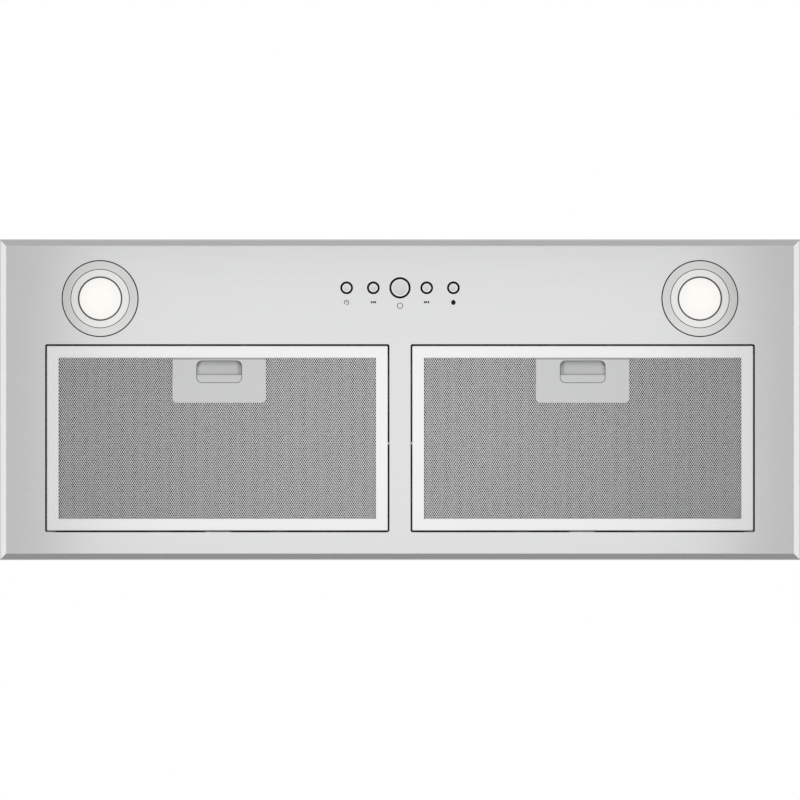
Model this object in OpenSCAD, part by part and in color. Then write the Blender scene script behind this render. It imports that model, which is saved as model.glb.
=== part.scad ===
// Range hood insert with two grease filters, a double-inlet blower and a damper collar.
// The origin is the centre of the cabinet cut-out, in the plane of the flange that seats
// under the cabinet. +X is to the right of someone who faces the controls from below,
// -Y is the front with the controls, and +Z is up.

/* [Panel] */
// Width of the panel over its bevelled rim
panel_w = 720; // [706:1:760]
// Depth of the panel over its bevelled rim
panel_d = 288.5; // [286:0.5:300]
// Thickness of the panel sheet
panel_t = 1; // [0.8:0.1:1.2]
// Width of the bevelled rim, seen from below
rim_w = 6.3; // [5:0.1:7]
// Rise of the bevelled rim from the face to the seat
rim_rise = 6.3; // [5.5:0.1:7.5]
// Width of the return that seats under the cabinet, over the rim
seat_w = 14; // [12:0.5:15]

/* [Filter openings] */
// Width of the strip between an opening and the panel's end, with the rim
end_strip = 40.95; // [36:0.05:46]
// Depth of the strip in front of the openings, with the rim
front_strip = 94.3; // [92:0.1:98]
// Corner radius of the filter openings
opening_r = 2.8; // [1:0.1:5]
// Width of the strip between the two openings
mullion_w = 18.9; // [16:0.1:24]
// Depth of the strip behind the openings, with the rim
rear_strip = 25; // [24:0.5:28]

/* [Filters] */
// Gap round a filter in its opening
filter_gap = 1.35; // [1.2:0.05:1.6]
// Thickness of a filter
filter_h = 9; // [8.5:0.1:10]
// Sheet thickness of the filter frame
frame_t = 0.8; // [0.6:0.1:0.9]
// Width of the filter frame's face
frame_face_w = 10.8; // [9:0.1:12]
// Width of the filter frame's back lip
frame_back_w = 9; // [6:0.5:11]
// Thickness of the expanded mesh sheets
mesh_t = 0.6; // [0.4:0.1:0.8]
// Length of one mesh diamond
diamond_x = 20; // [16:1:26]
// Height of one mesh diamond
diamond_y = 26; // [20:1:32]
// Width of a mesh strand
strand_w = 2.2; // [1.5:0.1:3]
// Length of one fold of the filter's core
fold_pitch = 12; // [9:0.5:16]
// Width of a rear hook tab
tab_w = 13.5; // [10:0.5:18]
// Distance between the two rear hook tabs
tab_span = 109.4; // [90:0.1:130]
// Reach of a rear hook tab over the panel
tab_reach = 4.5; // [3:0.1:5.5]
// Radius of the side bump that centres a filter
bump_r = 0.8; // [0.6:0.1:1]
// Distance of the side bump from the filter's rear edge
bump_back = 78.7; // [60:0.1:100]

/* [Handle and latch] */
// Width of the handle plate
handle_w = 84; // [80:0.5:90]
// Visible depth of the handle plate
handle_d = 40.6; // [39:0.1:46]
// Radius of the handle plate's inner corners
handle_r = 3.6; // [2:0.1:6]
// Sheet thickness of the handle plate
handle_t = 0.6; // [0.5:0.1:0.7]
// Offset of the left filter's handle plate towards the middle
left_handle_shift = 1.7; // [0:0.1:2]
// Width of the finger slot
slot_w = 41.3; // [38:0.1:43]
// Depth of the finger slot
slot_d = 20.3; // [19:0.1:21]
// Corner radius of the finger slot
slot_r = 4.9; // [3:0.1:6]
// Distance of the finger slot from the frame's face
slot_inset = 2.6; // [2:0.1:4]
// Depth of the latch lip that shows in the slot
lip_show = 8.1; // [7:0.1:9]
// Width of a latch tongue
tongue_w = 6.75; // [5:0.05:8]
// Distance between the two latch tongues
tongue_span = 51.6; // [50:0.1:54]
// Sheet thickness of the latch slider
latch_t = 0.8; // [0.6:0.1:0.9]
// Travel of the latch slider
latch_travel = 5; // [4:0.1:5.5]

/* [Lamps] */
// Distance of the lamps from the panel's ends
lamp_inset = 90.4; // [86:0.1:96]
// Distance of the lamps from the panel's front edge
lamp_front = 53.35; // [51:0.05:54]
// Outer radius of the lamp trim
trim_r = 34.6; // [33.5:0.1:36]
// Height of the trim below the panel
trim_proud = 1.5; // [1.2:0.1:2]
// Radius of the line in the trim
trim_line_r = 26.3; // [25:0.1:27]
// Radius of the lamp lens
lens_r = 18.6; // [17:0.1:19]
// Dark gap round the lens
lens_gap = 1.2; // [0.8:0.1:1.6]
// Radius of the lamp's body
can_r = 27.2; // [26.8:0.1:27.6]
// Height of the lamp's body
can_h = 24; // [20:0.5:30]
// Number of cooling fins on the lamp's body
fin_count = 4; // [3:1:6]

/* [Controls] */
// Distance between the buttons
button_pitch = 24; // [22.5:0.1:26]
// Distance of the buttons from the panel's front edge
button_front = 43.65; // [42:0.05:46]
// Radius of a small button
button_r = 4; // [3.5:0.05:4.5]
// Radius of the middle button
power_r = 7.85; // [7:0.05:8.5]
// Width of the black collar round a button
collar_w = 1.55; // [1.2:0.05:1.8]
// Travel of a button
button_travel = 1; // [0.6:0.1:1.2]
// Height of a button below the panel
button_proud = 1.1; // [0.8:0.1:1.4]
// Height of the collars below the panel
collar_proud = 0.4; // [0.2:0.1:0.6]
// Thickness of the button carrier
carrier_t = 2; // [1.5:0.1:2.5]
// Height of the board over the carrier
board_rise = 7; // [6.5:0.1:8]
// Thickness of the circuit boards
board_t = 1.6; // [1:0.1:2]
// Height of the control cover
cover_h = 24; // [20:0.5:26]

/* [Housing] */
// Height of the housing over the panel
tub_h = 104; // [96:1:120]
// Sheet thickness of the housing and blower box
tub_t = 1; // [0.8:0.1:1.2]
// Gap between the housing and the seat return
tub_gap = 1.2; // [0.8:0.1:2]
// Width of the blower box
box_w = 340; // [320:1:380]
// Height of the blower box
box_h = 121; // [116:1:140]
// Inset of the blower box from the housing's front and back
box_inset = 12; // [9:0.5:14]
// Radius of the cable knockout
knockout_r = 11.1; // [10:0.1:14]
// Distance between the cabinet screw holes on one side
side_hole_span = 180; // [120:5:200]
// Height of the cabinet screw holes over the panel
side_hole_rise = 40; // [25:1:60]
// Radius of the cabinet screw holes
side_hole_r = 2.6; // [2:0.1:3.5]

/* [Blower] */
// Radius of the blower wheel
wheel_r = 66; // [60:0.5:68]
// Gap between the wheel and the outer face of a scroll side plate
wheel_gap = 6; // [6:0.5:9]
// Depth of the blades
blade_depth = 12; // [9:0.5:13]
// Number of blades
blade_count = 38; // [28:1:44]
// Thickness of a blade
blade_t = 0.9; // [0.6:0.1:1.4]
// Gap between the wheel and the scroll's tongue
cutoff_gap = 7; // [5:0.5:9]
// Growth of the scroll's radius from tongue to outlet
scroll_growth = 26; // [20:1:28]
// Width of the scroll over its side plates
scroll_w = 116; // [116:1:122]
// Depth of the wheel's axis under the blower box's top
axis_drop = 100; // [96:1:108]
// Distance of the wheel's axis in front of the middle
axis_front = 30; // [26:1:32]
// Radius of the motor
motor_r = 38; // [34:0.5:40]
// Radius of the motor shaft
shaft_r = 4; // [3:0.5:5]

/* [Duct collar] */
// Outer radius of the duct collar
duct_r = 75; // [74:0.5:78]
// Height of the duct collar
collar_h = 38; // [32:1:50]
// Sheet thickness of the duct collar
collar_t = 1; // [0.8:0.1:1.2]
// Height of the damper's axis over the blower box
damper_rise = 9; // [8:0.5:14]
// Distance of a damper pin from the middle
damper_offset = 3; // [2.9:0.1:4]
// Radius of a damper pin
damper_pin_r = 1.5; // [1:0.1:2]
// Sheet thickness of a damper flap
flap_t = 0.8; // [0.6:0.1:1.2]

/* [Hidden] */
$fn = 64;

// Overrun of a cut past the faces that it goes through
over = 1;
// Clearance of a loose part that slides or drops into its seat
play = 0.3;
// Running clearance of a pin or shaft
run_play = 0.05;
// Depth to which welded pieces of one sheet part run into each other
weld = 0.4;

steel = [0.83, 0.84, 0.85];
zinc = [0.72, 0.74, 0.75];
aluminium = [0.78, 0.79, 0.8];
black_plastic = [0.08, 0.08, 0.09];

// Levels and spans of the panel
face_z = -rim_rise;
face_w = panel_w - 2 * rim_w;
face_d = panel_d - 2 * rim_w;
rim_slope = rim_w / rim_rise;
rim_skin = panel_t * sqrt(1 + rim_slope * rim_slope);
opening_w = (panel_w - mullion_w) / 2 - end_strip;
opening_d = panel_d - front_strip - rear_strip;
opening_x = (mullion_w + opening_w) / 2;
opening_rear = panel_d / 2 - rear_strip;
opening_y = opening_rear - opening_d / 2;
lamp_x = panel_w / 2 - lamp_inset;
lamp_y = lamp_front - panel_d / 2;
button_y = button_front - panel_d / 2;

// Weld studs on the panel, the nuts on them and the housing's feet
stud_r = 1.95;
stud_h = 7;
nut_r = 3.8;
nut_h = 3.2;
foot_w = 22;
foot_d = 9;
foot_place = foot_d / 2;
foot_end_share = 0.93;
foot_mid_share = 0.475;

// Housing and blower box
tub_w = panel_w - 2 * seat_w - 2 * tub_gap;
tub_d = panel_d - 2 * seat_w - 2 * tub_gap;
tub_top = panel_t + tub_h;
foot_xs = [for (share = [-foot_end_share, -foot_mid_share, 0, foot_mid_share, foot_end_share])
    share * tub_w / 2];
box_d = tub_d - 2 * box_inset;
box_top = tub_top + box_h;
box_flange = 10;
throat_inset = 6;
screw_r = 1.75;
screw_hole_r = screw_r + run_play;
screw_len = 7;
screw_head_r = 3.7;
screw_head_h = 2.2;
box_screw_shares = [-0.9, 0, 0.9];
bead_r = 3;
bead_h = 1.6;
bead_share = 0.8;
box_bead_shares = [0.3, 0.62];

// Blower
axis_y = -axis_front;
axis_z = box_top - tub_t - axis_drop;
wheel_w = scroll_w - 2 * wheel_gap;
scroll_r0 = wheel_r + cutoff_gap;
scroll_r1 = scroll_r0 + scroll_growth;
scroll_t = 1;
tongue_angle = 84;
scroll_steps = 46;
outlet_y0 = axis_y + scroll_r0 * cos(tongue_angle);
outlet_y1 = axis_y + scroll_r1;
outlet_rise = axis_drop;
outlet_flange = 11;
throat_step = 1;
throat_r = wheel_r - blade_depth - throat_step;
bell_r = 7;
bell_flange = 8;
bell_t = 1;
end_ring_h = 3;
disc_t = 2;
disc_x = -4;
hub_r = 11;
hub_len = 18;
blade_sweep = 11;
blade_steps = 3;
blade_inset = 0.6;
motor_len = 42;
motor_gap = 8;
motor_x0 = disc_x + disc_t + motor_gap;
motor_x1 = motor_x0 + motor_len;
motor_edge = 8;
motor_band = 1.5;
boss_gap = 4;
boss_t = 3;
arm_w = 14;
arm_t = 2;
arm_eye_r = 8;
arm_angles = [65, 185, 305];
arm_hub_r = 18;
arm_bolt_out = 2;
arm_bolt_r = scroll_r0 + arm_bolt_out;
pad_r = 6;
grommet_h = 3.5;
grommet_hole_r = 2.2;
arm_x = scroll_w / 2 + grommet_h;
capacitor_r = 17;
capacitor_len = 62;
capacitor_rise = 62;
strap_w = 16;
strap_t = 1;
strap_ear = 12;
strap_screw = capacitor_r + strap_t + strap_ear / 2;

// Duct collar and damper
collar_y = (outlet_y0 + outlet_y1) / 2;
collar_flange = 13;
collar_screw_r = duct_r + collar_flange * 0.55;
corner_x = (scroll_w + outlet_flange) / 2;
corner_angle = acos(corner_x / collar_screw_r);
corner_y = collar_screw_r * sin(corner_angle);
collar_screw_angles = [for (side = [-1, 1]) each
    [side * corner_angle, side * 90, side * (180 - corner_angle)]];
ledge_w = 4;
ledge_t = 1.2;
flap_gap = 1.5;
flap_r = duct_r - collar_t - flap_gap;
barrel_gap = 0.4;
barrel_r = damper_offset - barrel_gap;
flap_z = box_top + damper_rise;
pin_end = duct_r - collar_t / 4;

// Filters, in a frame of their own with the origin at the filter's middle on the face
filter_w = opening_w - 2 * filter_gap;
filter_d = opening_d - 2 * filter_gap;
core_bottom = frame_t + mesh_t;
core_top = filter_h - frame_t - mesh_t;
lining_gap = 0.3;
lining_w = filter_w - 2 * frame_t - 2 * lining_gap;
lining_d = filter_d - 2 * frame_t - 2 * lining_gap;
lining_front = -lining_d / 2;
net_w = filter_w - 2 * frame_face_w;
net_d = filter_d - 2 * frame_face_w;
tab_t = 1;
tab_play = 0.15;
bump_gap = 0.3;
fold_t = 1.4;

// Handle and latch, in the filter's frame
handle_front = frame_face_w - filter_d / 2;
handle_rear = handle_front + handle_d;
handle_z = frame_t - handle_t;
slot_front = handle_front + slot_inset;
slot_rear = slot_front + slot_d;
lip_front = slot_rear - lip_show;
lip_hidden = 2;
lip_rear = slot_rear + lip_hidden;
latch_z = frame_t + play;
finger_wall_h = 5;
dish_gap = 0.4;
dish_r = finger_wall_h - latch_t;
dish_front = slot_front - dish_gap;
dish_w = slot_w / 2 + dish_gap;
arm_out = tongue_span / 2 + tongue_w / 2;
tongue_tip = -filter_d / 2 - filter_gap + play;
tongue_play = 0.3;
tongue_lift = 0.1;
cover_t = 0.6;
cover_side = 4;
cover_in_w = 2 * (arm_out + cover_side);
cover_out_w = cover_in_w + 2 * cover_t;
cover_flange = 5;
spring_x = 13;
spring_r = 1.7;
spring_wire_r = 0.3;
spring_turns = 5;
spring_end = 0.3;
spring_spare = 0.5;
spring_len = 2 * spring_wire_r * spring_turns + latch_travel + spring_spare;
cover_rear = lip_rear + spring_len + 2 * spring_end + cover_t;
notch_gap = 0.5;
notch_w = cover_out_w + 2 * notch_gap;
core_gap = 1;
core_notch_w = cover_out_w + 2 * (cover_flange + core_gap);
core_notch_rear = cover_rear + cover_flange + core_gap;

// Lamps, in a frame of their own with the origin at the lamp's middle on the face
trim_edge = 1.2;
trim_step = 0.3;
trim_line = 0.5;
trim_bore_r = lens_r + lens_gap;
sleeve_h = 6;
lamp_shelf = 1.8;
lens_seat_w = 2.7;
lens_seat_r = trim_bore_r + lens_seat_w;
lens_flange_t = 1;
lens_seat = 0.6;
lens_play = 0.1;
lens_crown = 0.35;
can_wall = 1.5;
can_play = 0.2;
sleeve_t = 1;
sleeve_r = can_r + can_play + sleeve_t;
lamp_hole_gap = 0.4;
lamp_hole_r = sleeve_r + lamp_hole_gap;
cavity_h = 6.2;
fin_depth = 6;
fin_in_r = can_r - fin_depth;
fin_share = 0.55;
lamp_board_r = can_r - can_wall - can_play;
clip_w = 9;
clip_t = 0.5;
clip_past = 2;
clip_reach = trim_r - can_r + clip_past;
clip_top = 15;
clip_knee = 8;

// Controls, with the origin of a button at its middle on the face
button_play = 0.15;
carrier_end = 17;
carrier_w = 4 * button_pitch + 2 * carrier_end;
carrier_d = 28;
retainer_w = 1.3;
retainer_t = 1;
stem_r = 1.5;
switch_w = 6.2;
switch_h = 3.5;
switch_bore_r = 1.8;
stem_in = 0.4;
switch_bore = stem_in + button_travel + 2 * play;
board_z = panel_t + carrier_t + board_rise;
board_margin = 2;
post_r = 2.6;
post_inset = 5;
carrier_gap_x = 5;
carrier_gap_y = 3;
control_cover_w = carrier_w + 2 * carrier_gap_x;
control_cover_d = carrier_d + 2 * carrier_gap_y;
control_flange = 9;
button_edge = 0.5;
button_radii = [button_r, button_r, power_r, button_r, button_r];

// Wiring
wiring_w = 92;
wiring_d = 50;
wiring_h = 30;
wiring_lip = 7;
wiring_gap_x = 5.8;
wiring_gap_y = 12.05;
wiring_x = tub_w / 2 - tub_t - wiring_gap_x - wiring_lip - wiring_w / 2;
wiring_y = tub_t + wiring_gap_y + wiring_d / 2 - tub_d / 2;
driver_w = 90;
driver_d = 38;
driver_h = 24;
driver_x = -(tub_w + box_w) / 4;
driver_ear = 9;
bead_y0 = wiring_y + wiring_d / 2 + 2 * bead_r;
bead_y1 = bead_share * tub_d / 2;
run_gap = 5.05;
run_y = tub_t + run_gap - tub_d / 2;
run_z = 51;
hook_t = 0.8;
hook_w = 8;
hook_shares = [-0.3, 0, 0.3];
lead_r = 2.4;
lamp_lead_r = 1.8;
lead_sides = 8;
lead_gap = 10;
lead_out = 10;
connector_x = carrier_w / 2 - 4 * post_inset;
connector_y = -carrier_d * 0.15;
connector_w = 14;
connector_d = 7;
connector_h = 7;
connector_top = board_z + board_t + connector_h;
lead_entry_r = 29.5;
lead_entry_angles = [122, 152];
terminal_h = capacitor_r / 2;

// Middle points of the leads' routes, over the panel's face
left_lamp_route = [[-268, -94, 44], [-258, -95, 58]];
right_lamp_route = [[268, -95, 40], [260, -110, 46], [236, -119, 48], [200, -122, 50],
    [120, run_y, run_z], [40, run_y, run_z], [-40, run_y, run_z], [-120, run_y, run_z],
    [-176, -121, 54],
    [-196, -110, 66], [-202, -101, 80]];
wiring_route = [[48, -106, 36], [64, -111, 52], [96, -113, 70], [150, -109, 84],
    [200, -102, 89]];
driver_route = [[-48, -106, 36], [-64, -110, 52], [-96, -110, 72], [-150, -100, 86],
    [-190, -84, 91]];
motor_route = [[210, -81, 89], [176, -80, 92], [150, -78, 104], [130, -70, 124],
    [112, -56, 144], [92, -47, 150]];
capacitor_route = [[138, -58, 164], [122, -66, 154], [98, -62, 143]];

// Directions of the leads' ends
right = [1, 0, 0];
rear = [0, 1, 0];
up = [0, 0, 1];

// Small helpers
// A box given by its lowest and highest corners
module block(low, high) {
    translate(low) cube(high - low);
}

// Moves its children onto the panel's visible face
module on_face() {
    translate([0, 0, face_z]) children();
}

// Extrudes a (y, z) outline along X from x0 to x1
module across(x0, x1) {
    translate([x0, 0, 0]) rotate([90, 0, 90]) linear_extrude(height = x1 - x0) children();
}

// Extrudes an (x, z) outline along Y from y0 to y1
module along(y0, y1) {
    translate([0, y1, 0]) rotate([90, 0, 0]) linear_extrude(height = y1 - y0) children();
}

// A rectangle with round corners, about the origin
module rounded(w, d, r) {
    square([w - 2 * r, d], center = true);
    square([w, d - 2 * r], center = true);
    for (x = [-1, 1], y = [-1, 1]) translate([x * (w / 2 - r), y * (d / 2 - r)]) circle(r = r);
}

// A block that grows by the same amount on all four sides from its bottom to its top
module flared_block(w, d, z0, z1, grow) {
    intersection() {
        along(-d / 2 - grow - over, d / 2 + grow + over)
            polygon([[-w / 2, z0], [w / 2, z0], [w / 2 + grow, z1], [-w / 2 - grow, z1]]);
        across(-w / 2 - grow - over, w / 2 + grow + over)
            polygon([[-d / 2, z0], [d / 2, z0], [d / 2 + grow, z1], [-d / 2 - grow, z1]]);
    }
}

// A pan-head screw with its head's underside at the origin and its shank down
module screw() {
    translate([0, 0, -screw_len]) cylinder(r = screw_r, h = screw_len + weld);
    difference() {
        cylinder(r = screw_head_r, h = screw_head_h);
        translate([0, 0, screw_head_h * 0.5])
            cylinder(r = screw_r * 0.9, h = screw_head_h + over, $fn = 6);
    }
}

function unit(v) = v / norm(v);
function ways(p) = [for (i = [0:len(p) - 1])
    unit(p[min(i + 1, len(p) - 1)] - p[max(i - 1, 0)])];
function sides(t, i, n) = i == len(t) ? [] :
    let (m = unit(n - (n * t[i]) * t[i])) concat([m], sides(t, i + 1, m));
function softened(p) = concat([p[0]], [for (i = [1:len(p) - 2])
    each [(p[i - 1] + 3 * p[i]) / 4, (p[i + 1] + 3 * p[i]) / 4]], [p[len(p) - 1]]);

// A round wire of radius r along the points p, with its ends square to it
module wire(p, r, n = lead_sides, start = [0.31, 0.45, 0.84]) {
    t = ways(p);
    u = sides(t, 0, start);
    last = len(p) - 1;
    points = [for (i = [0:last], k = [0:n - 1])
        p[i] + r * (cos(360 * k / n) * u[i] + sin(360 * k / n) * cross(t[i], u[i]))];
    walls = [for (i = [0:last - 1], k = [0:n - 1]) let (j = (k + 1) % n)
        each [[i * n + k, (i + 1) * n + k, (i + 1) * n + j],
              [i * n + k, (i + 1) * n + j, i * n + j]]];
    ends = [for (k = [1:n - 2]) each [[0, k, k + 1],
        [last * n, last * n + k + 1, last * n + k]]];
    polyhedron(points = points, faces = concat(walls, ends));
}

// Panel, housing and blower box

// Places its children at each weld stud: two rows along the front and rear walls
module at_studs() {
    for (x = foot_xs, side = [-1, 1])
        translate([x, side * (tub_d / 2 - tub_t - foot_place), 0]) children();
}

// Places its children at each weld stud of the control cover
module at_cover_studs() {
    for (side = [-1, 1])
        translate([side * (control_cover_w + control_flange) / 2, button_y, 0]) children();
}

module weld_stud() {
    translate([0, 0, panel_t - weld]) cylinder(r = stud_r, h = stud_h);
}

module base_panel() {
    color(steel) on_face() difference() {
        union() {
            difference() {
                flared_block(face_w, face_d, 0, rim_rise, rim_w);
                flared_block(
                    face_w + 2 * rim_slope * panel_t - 2 * rim_skin,
                    face_d + 2 * rim_slope * panel_t - 2 * rim_skin,
                    panel_t, rim_rise - panel_t, rim_slope * (rim_rise - 2 * panel_t));
                block([seat_w - panel_w / 2, seat_w - panel_d / 2, panel_t],
                    [panel_w / 2 - seat_w, panel_d / 2 - seat_w, rim_rise + over]);
            }
            at_studs() weld_stud();
            at_cover_studs() weld_stud();
        }
        for (side = [-1, 1]) {
            translate([side * opening_x, opening_y, -over])
                linear_extrude(height = panel_t + 2 * over)
                    rounded(opening_w, opening_d, opening_r);
            translate([side * lamp_x, lamp_y, -over])
                cylinder(r = lamp_hole_r, h = panel_t + 2 * over);
        }
        for (i = [0:4]) translate([(i - 2) * button_pitch, button_y, -over])
            cylinder(r = button_radii[i] + button_play + collar_w + run_play,
                h = panel_t + 2 * over);
    }
}

module housing_shell() {
    color(zinc) on_face() {
        difference() {
            block([-tub_w / 2, -tub_d / 2, panel_t], [tub_w / 2, tub_d / 2, tub_top]);
            block([tub_t - tub_w / 2, tub_t - tub_d / 2, panel_t - over],
                [tub_w / 2 - tub_t, tub_d / 2 - tub_t, tub_top - tub_t]);
            block([throat_inset - box_w / 2, throat_inset - box_d / 2, panel_t],
                [box_w / 2 - throat_inset, box_d / 2 - throat_inset, tub_top + over]);
            for (side = [-1, 1], y = [-0.5, 0.5])
                translate([side * (tub_w / 2 - tub_t - over), y * side_hole_span,
                    panel_t + side_hole_rise])
                    rotate([0, side * 90, 0]) cylinder(r = side_hole_r, h = tub_t + 2 * over);
            translate([wiring_x, wiring_y, tub_top - tub_t - over])
                cylinder(r = knockout_r, h = tub_t + 2 * over);
            at_box_screws() cylinder(r = screw_hole_r, h = 4 * tub_t, center = true);
            at_top_screws() cylinder(r = screw_hole_r, h = 4 * tub_t, center = true);
        }
        at_studs() difference() {
            block([-foot_w / 2, -foot_place - weld, panel_t],
                [foot_w / 2, foot_place + weld, panel_t + tub_t]);
            cylinder(r = stud_r + play, h = stud_h);
        }
        for (side = [-1, 1])
            translate([side * (tub_w + box_w) / 4, (bead_y0 + bead_y1) / 2, tub_top])
                rotate([0, 0, 90]) bead(bead_y1 - bead_y0);
        for (share = hook_shares) translate([share * tub_w / 2, run_y, run_z]) lead_hook();
    }
}

// A pressed stiffening bead of the given length along X, rising from z = 0
module bead(length) {
    translate([-length / 2, 0, 0]) rotate([90, 0, 90]) linear_extrude(height = length)
        intersection() {
            circle(r = bead_r);
            translate([-bead_r, -weld]) square([2 * bead_r, bead_h + weld]);
        }
}

// A sheet hook on the front wall that carries the lamp lead's long run at its origin
module lead_hook() {
    wall_y = tub_t - weld - tub_d / 2 - run_y;
    reach = lamp_lead_r + play;
    across(-hook_w / 2, hook_w / 2) polygon([
        [wall_y, -reach - hook_t], [reach + hook_t, -reach - hook_t], [reach + hook_t, 0],
        [reach, 0], [reach, -reach], [wall_y, -reach]]);
}

// A flanged nut on a stud that holds one sheet to the panel
module flange_nut() {
    translate([0, 0, panel_t + tub_t]) difference() {
        union() {
            cylinder(r = nut_r, h = nut_h, $fn = 6);
            cylinder(r = nut_r * 1.1, h = nut_h * 0.25);
        }
        translate([0, 0, -over]) cylinder(r = stud_r + run_play, h = nut_h + 2 * over);
    }
}

module panel_nuts() {
    color(zinc) on_face() {
        at_studs() flange_nut();
        at_cover_studs() flange_nut();
    }
}

// Places its children at each screw that holds the wiring box and the lamp driver under the
// housing's top, on that top
module at_top_screws() {
    for (side = [-1, 1]) {
        translate([wiring_x + side * (wiring_w + wiring_lip) / 2, wiring_y, tub_top]) children();
        translate([driver_x + side * (driver_w + driver_ear) / 2, wiring_y, tub_top]) children();
    }
}

// Places its children at the wiring cover's screw, with Z out of the cover
module at_wiring_cover_screw() {
    translate([wiring_x, wiring_y + wiring_d / 2 + tub_t, tub_top - tub_t - wiring_h * 0.8])
        rotate([-90, 0, 0]) children();
}

// Places its children at each screw of the capacitor's strap, with Z out of the box's wall
module at_strap_screws() {
    for (side = [-1, 1])
        translate([box_w / 2, 0, tub_top + capacitor_rise + side * strap_screw])
            rotate([0, 90, 0]) children();
}

// Places its children at each screw of the blower box's flange, on the flange's top
module at_box_screws() {
    for (share = box_screw_shares, side = [-1, 1])
        translate([share * box_w / 2, side * (box_d / 2 + box_flange / 2), tub_top + tub_t])
            children();
}

// Places its children at each screw of the duct collar, on its flange's top. Four of them
// also hold the scroll under the blower box's top.
module at_collar_screws() {
    for (a = collar_screw_angles) translate([0, collar_y, box_top + collar_t])
        rotate([0, 0, a]) translate([collar_screw_r, 0, 0]) children();
}

module blower_box() {
    color(zinc) on_face() {
        difference() {
            union() {
                block([-box_w / 2, -box_d / 2, tub_top], [box_w / 2, box_d / 2, box_top]);
                block([-box_w / 2 - box_flange, -box_d / 2 - box_flange, tub_top],
                    [box_w / 2 + box_flange, box_d / 2 + box_flange, tub_top + tub_t]);
            }
            block([tub_t - box_w / 2, tub_t - box_d / 2, tub_top - over],
                [box_w / 2 - tub_t, box_d / 2 - tub_t, box_top - tub_t]);
            translate([0, collar_y, box_top - tub_t - over])
                cylinder(r = duct_r - collar_t, h = tub_t + 2 * over, $fn = 96);
            at_box_screws() cylinder(r = screw_hole_r, h = 4 * tub_t, center = true);
            at_collar_screws() cylinder(r = screw_hole_r, h = 6 * tub_t, center = true);
            at_strap_screws() cylinder(r = screw_hole_r, h = 4 * tub_t, center = true);
        }
        for (side = [-1, 1], share = box_bead_shares)
            translate([0, side * box_d / 2, tub_top + share * box_h])
                rotate([side * -90, 0, 0]) bead(bead_share * box_w);
    }
}

module duct_collar() {
    bottom = box_top;
    flap_seat = flap_z - barrel_r - play;
    color(steel) on_face() difference() {
        translate([0, collar_y, 0]) rotate_extrude($fn = 128) {
            translate([duct_r - collar_t, bottom]) square([collar_t, collar_h]);
            translate([duct_r - collar_t, bottom]) square([collar_flange + collar_t, collar_t]);
            translate([duct_r - collar_t - ledge_w, flap_seat - ledge_t])
                square([ledge_w + weld, ledge_t]);
        }
        at_collar_screws() cylinder(r = screw_hole_r, h = 4 * collar_t, center = true);
        for (x = [-1, 1]) translate([x * damper_offset, collar_y - pin_end - over, flap_z])
            rotate([-90, 0, 0]) cylinder(r = damper_pin_r + run_play, h = 2 * (pin_end + over));
    }
}

// One half of the damper, to the side given by -1 or 1
module damper_flap(side) {
    plate_z = flap_z - barrel_r;
    color(aluminium) on_face() {
        intersection() {
            translate([0, collar_y, plate_z]) cylinder(r = flap_r, h = flap_t, $fn = 96);
            translate([side * (damper_offset + flap_r / 2), collar_y, plate_z])
                cube([flap_r, 2 * flap_r, 4 * flap_t], center = true);
        }
        translate([side * damper_offset, collar_y - flap_r * 0.94, flap_z])
            rotate([-90, 0, 0]) cylinder(r = barrel_r, h = 2 * flap_r * 0.94);
        translate([side * damper_offset, collar_y - pin_end, flap_z])
            rotate([-90, 0, 0]) cylinder(r = damper_pin_r, h = 2 * pin_end);
        for (y = [-0.5, 0, 0.5])
            block([min(side * damper_offset, side * flap_r * 0.72),
                    collar_y + y * flap_r - flap_t / 2, plate_z],
                [max(side * damper_offset, side * flap_r * 0.72),
                    collar_y + y * flap_r + flap_t / 2, plate_z + barrel_r]);
    }
}

module sheet_screws() {
    color(zinc) on_face() {
        at_box_screws() screw();
        at_collar_screws() screw();
        at_top_screws() screw();
        at_wiring_cover_screw() screw();
        at_strap_screws() screw();
    }
}

// Blower

// Moves its children from a frame with Z along the wheel's axis onto that axis
module on_axis() {
    translate([0, axis_y, axis_z]) rotate([0, 90, 0]) children();
}

function blade_edge(side) = [for (i = [0:blade_steps])
    let (r = wheel_r - blade_inset - blade_depth * (1 - i / blade_steps),
        a = blade_sweep * (1 - cos(90 * i / blade_steps)) + side * blade_t / 2 / r * 180 / PI)
    r * [cos(a), sin(a)]];
function backwards(p) = [for (i = [len(p) - 1:-1:0]) p[i]];

module ring(r_out, r_in, h) {
    linear_extrude(height = h) difference() {
        circle(r = r_out, $fn = 96);
        circle(r = r_in, $fn = 96);
    }
}

module blower_wheel() {
    half = wheel_w / 2;
    color([0.25, 0.26, 0.28]) on_face() on_axis() {
        for (z = [-half, half - end_ring_h]) translate([0, 0, z])
            ring(wheel_r, wheel_r - blade_depth * 0.6, end_ring_h);
        difference() {
            translate([0, 0, disc_x]) cylinder(r = wheel_r, h = disc_t, $fn = 96);
            cylinder(r = shaft_r + run_play, h = wheel_w, center = true);
            for (i = [0:5]) rotate([0, 0, 60 * i]) translate([wheel_r * 0.45, 0, 0])
                cylinder(r = hub_r * 0.75, h = wheel_w, center = true);
        }
        translate([0, 0, disc_x - hub_len + disc_t]) ring(hub_r, shaft_r + run_play, hub_len);
        translate([0, 0, end_ring_h - half - weld])
            linear_extrude(height = wheel_w - 2 * end_ring_h + 2 * weld)
                for (i = [0:blade_count - 1]) rotate([0, 0, 360 * i / blade_count])
                    polygon(concat(blade_edge(-1), backwards(blade_edge(1))));
    }
}

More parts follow.
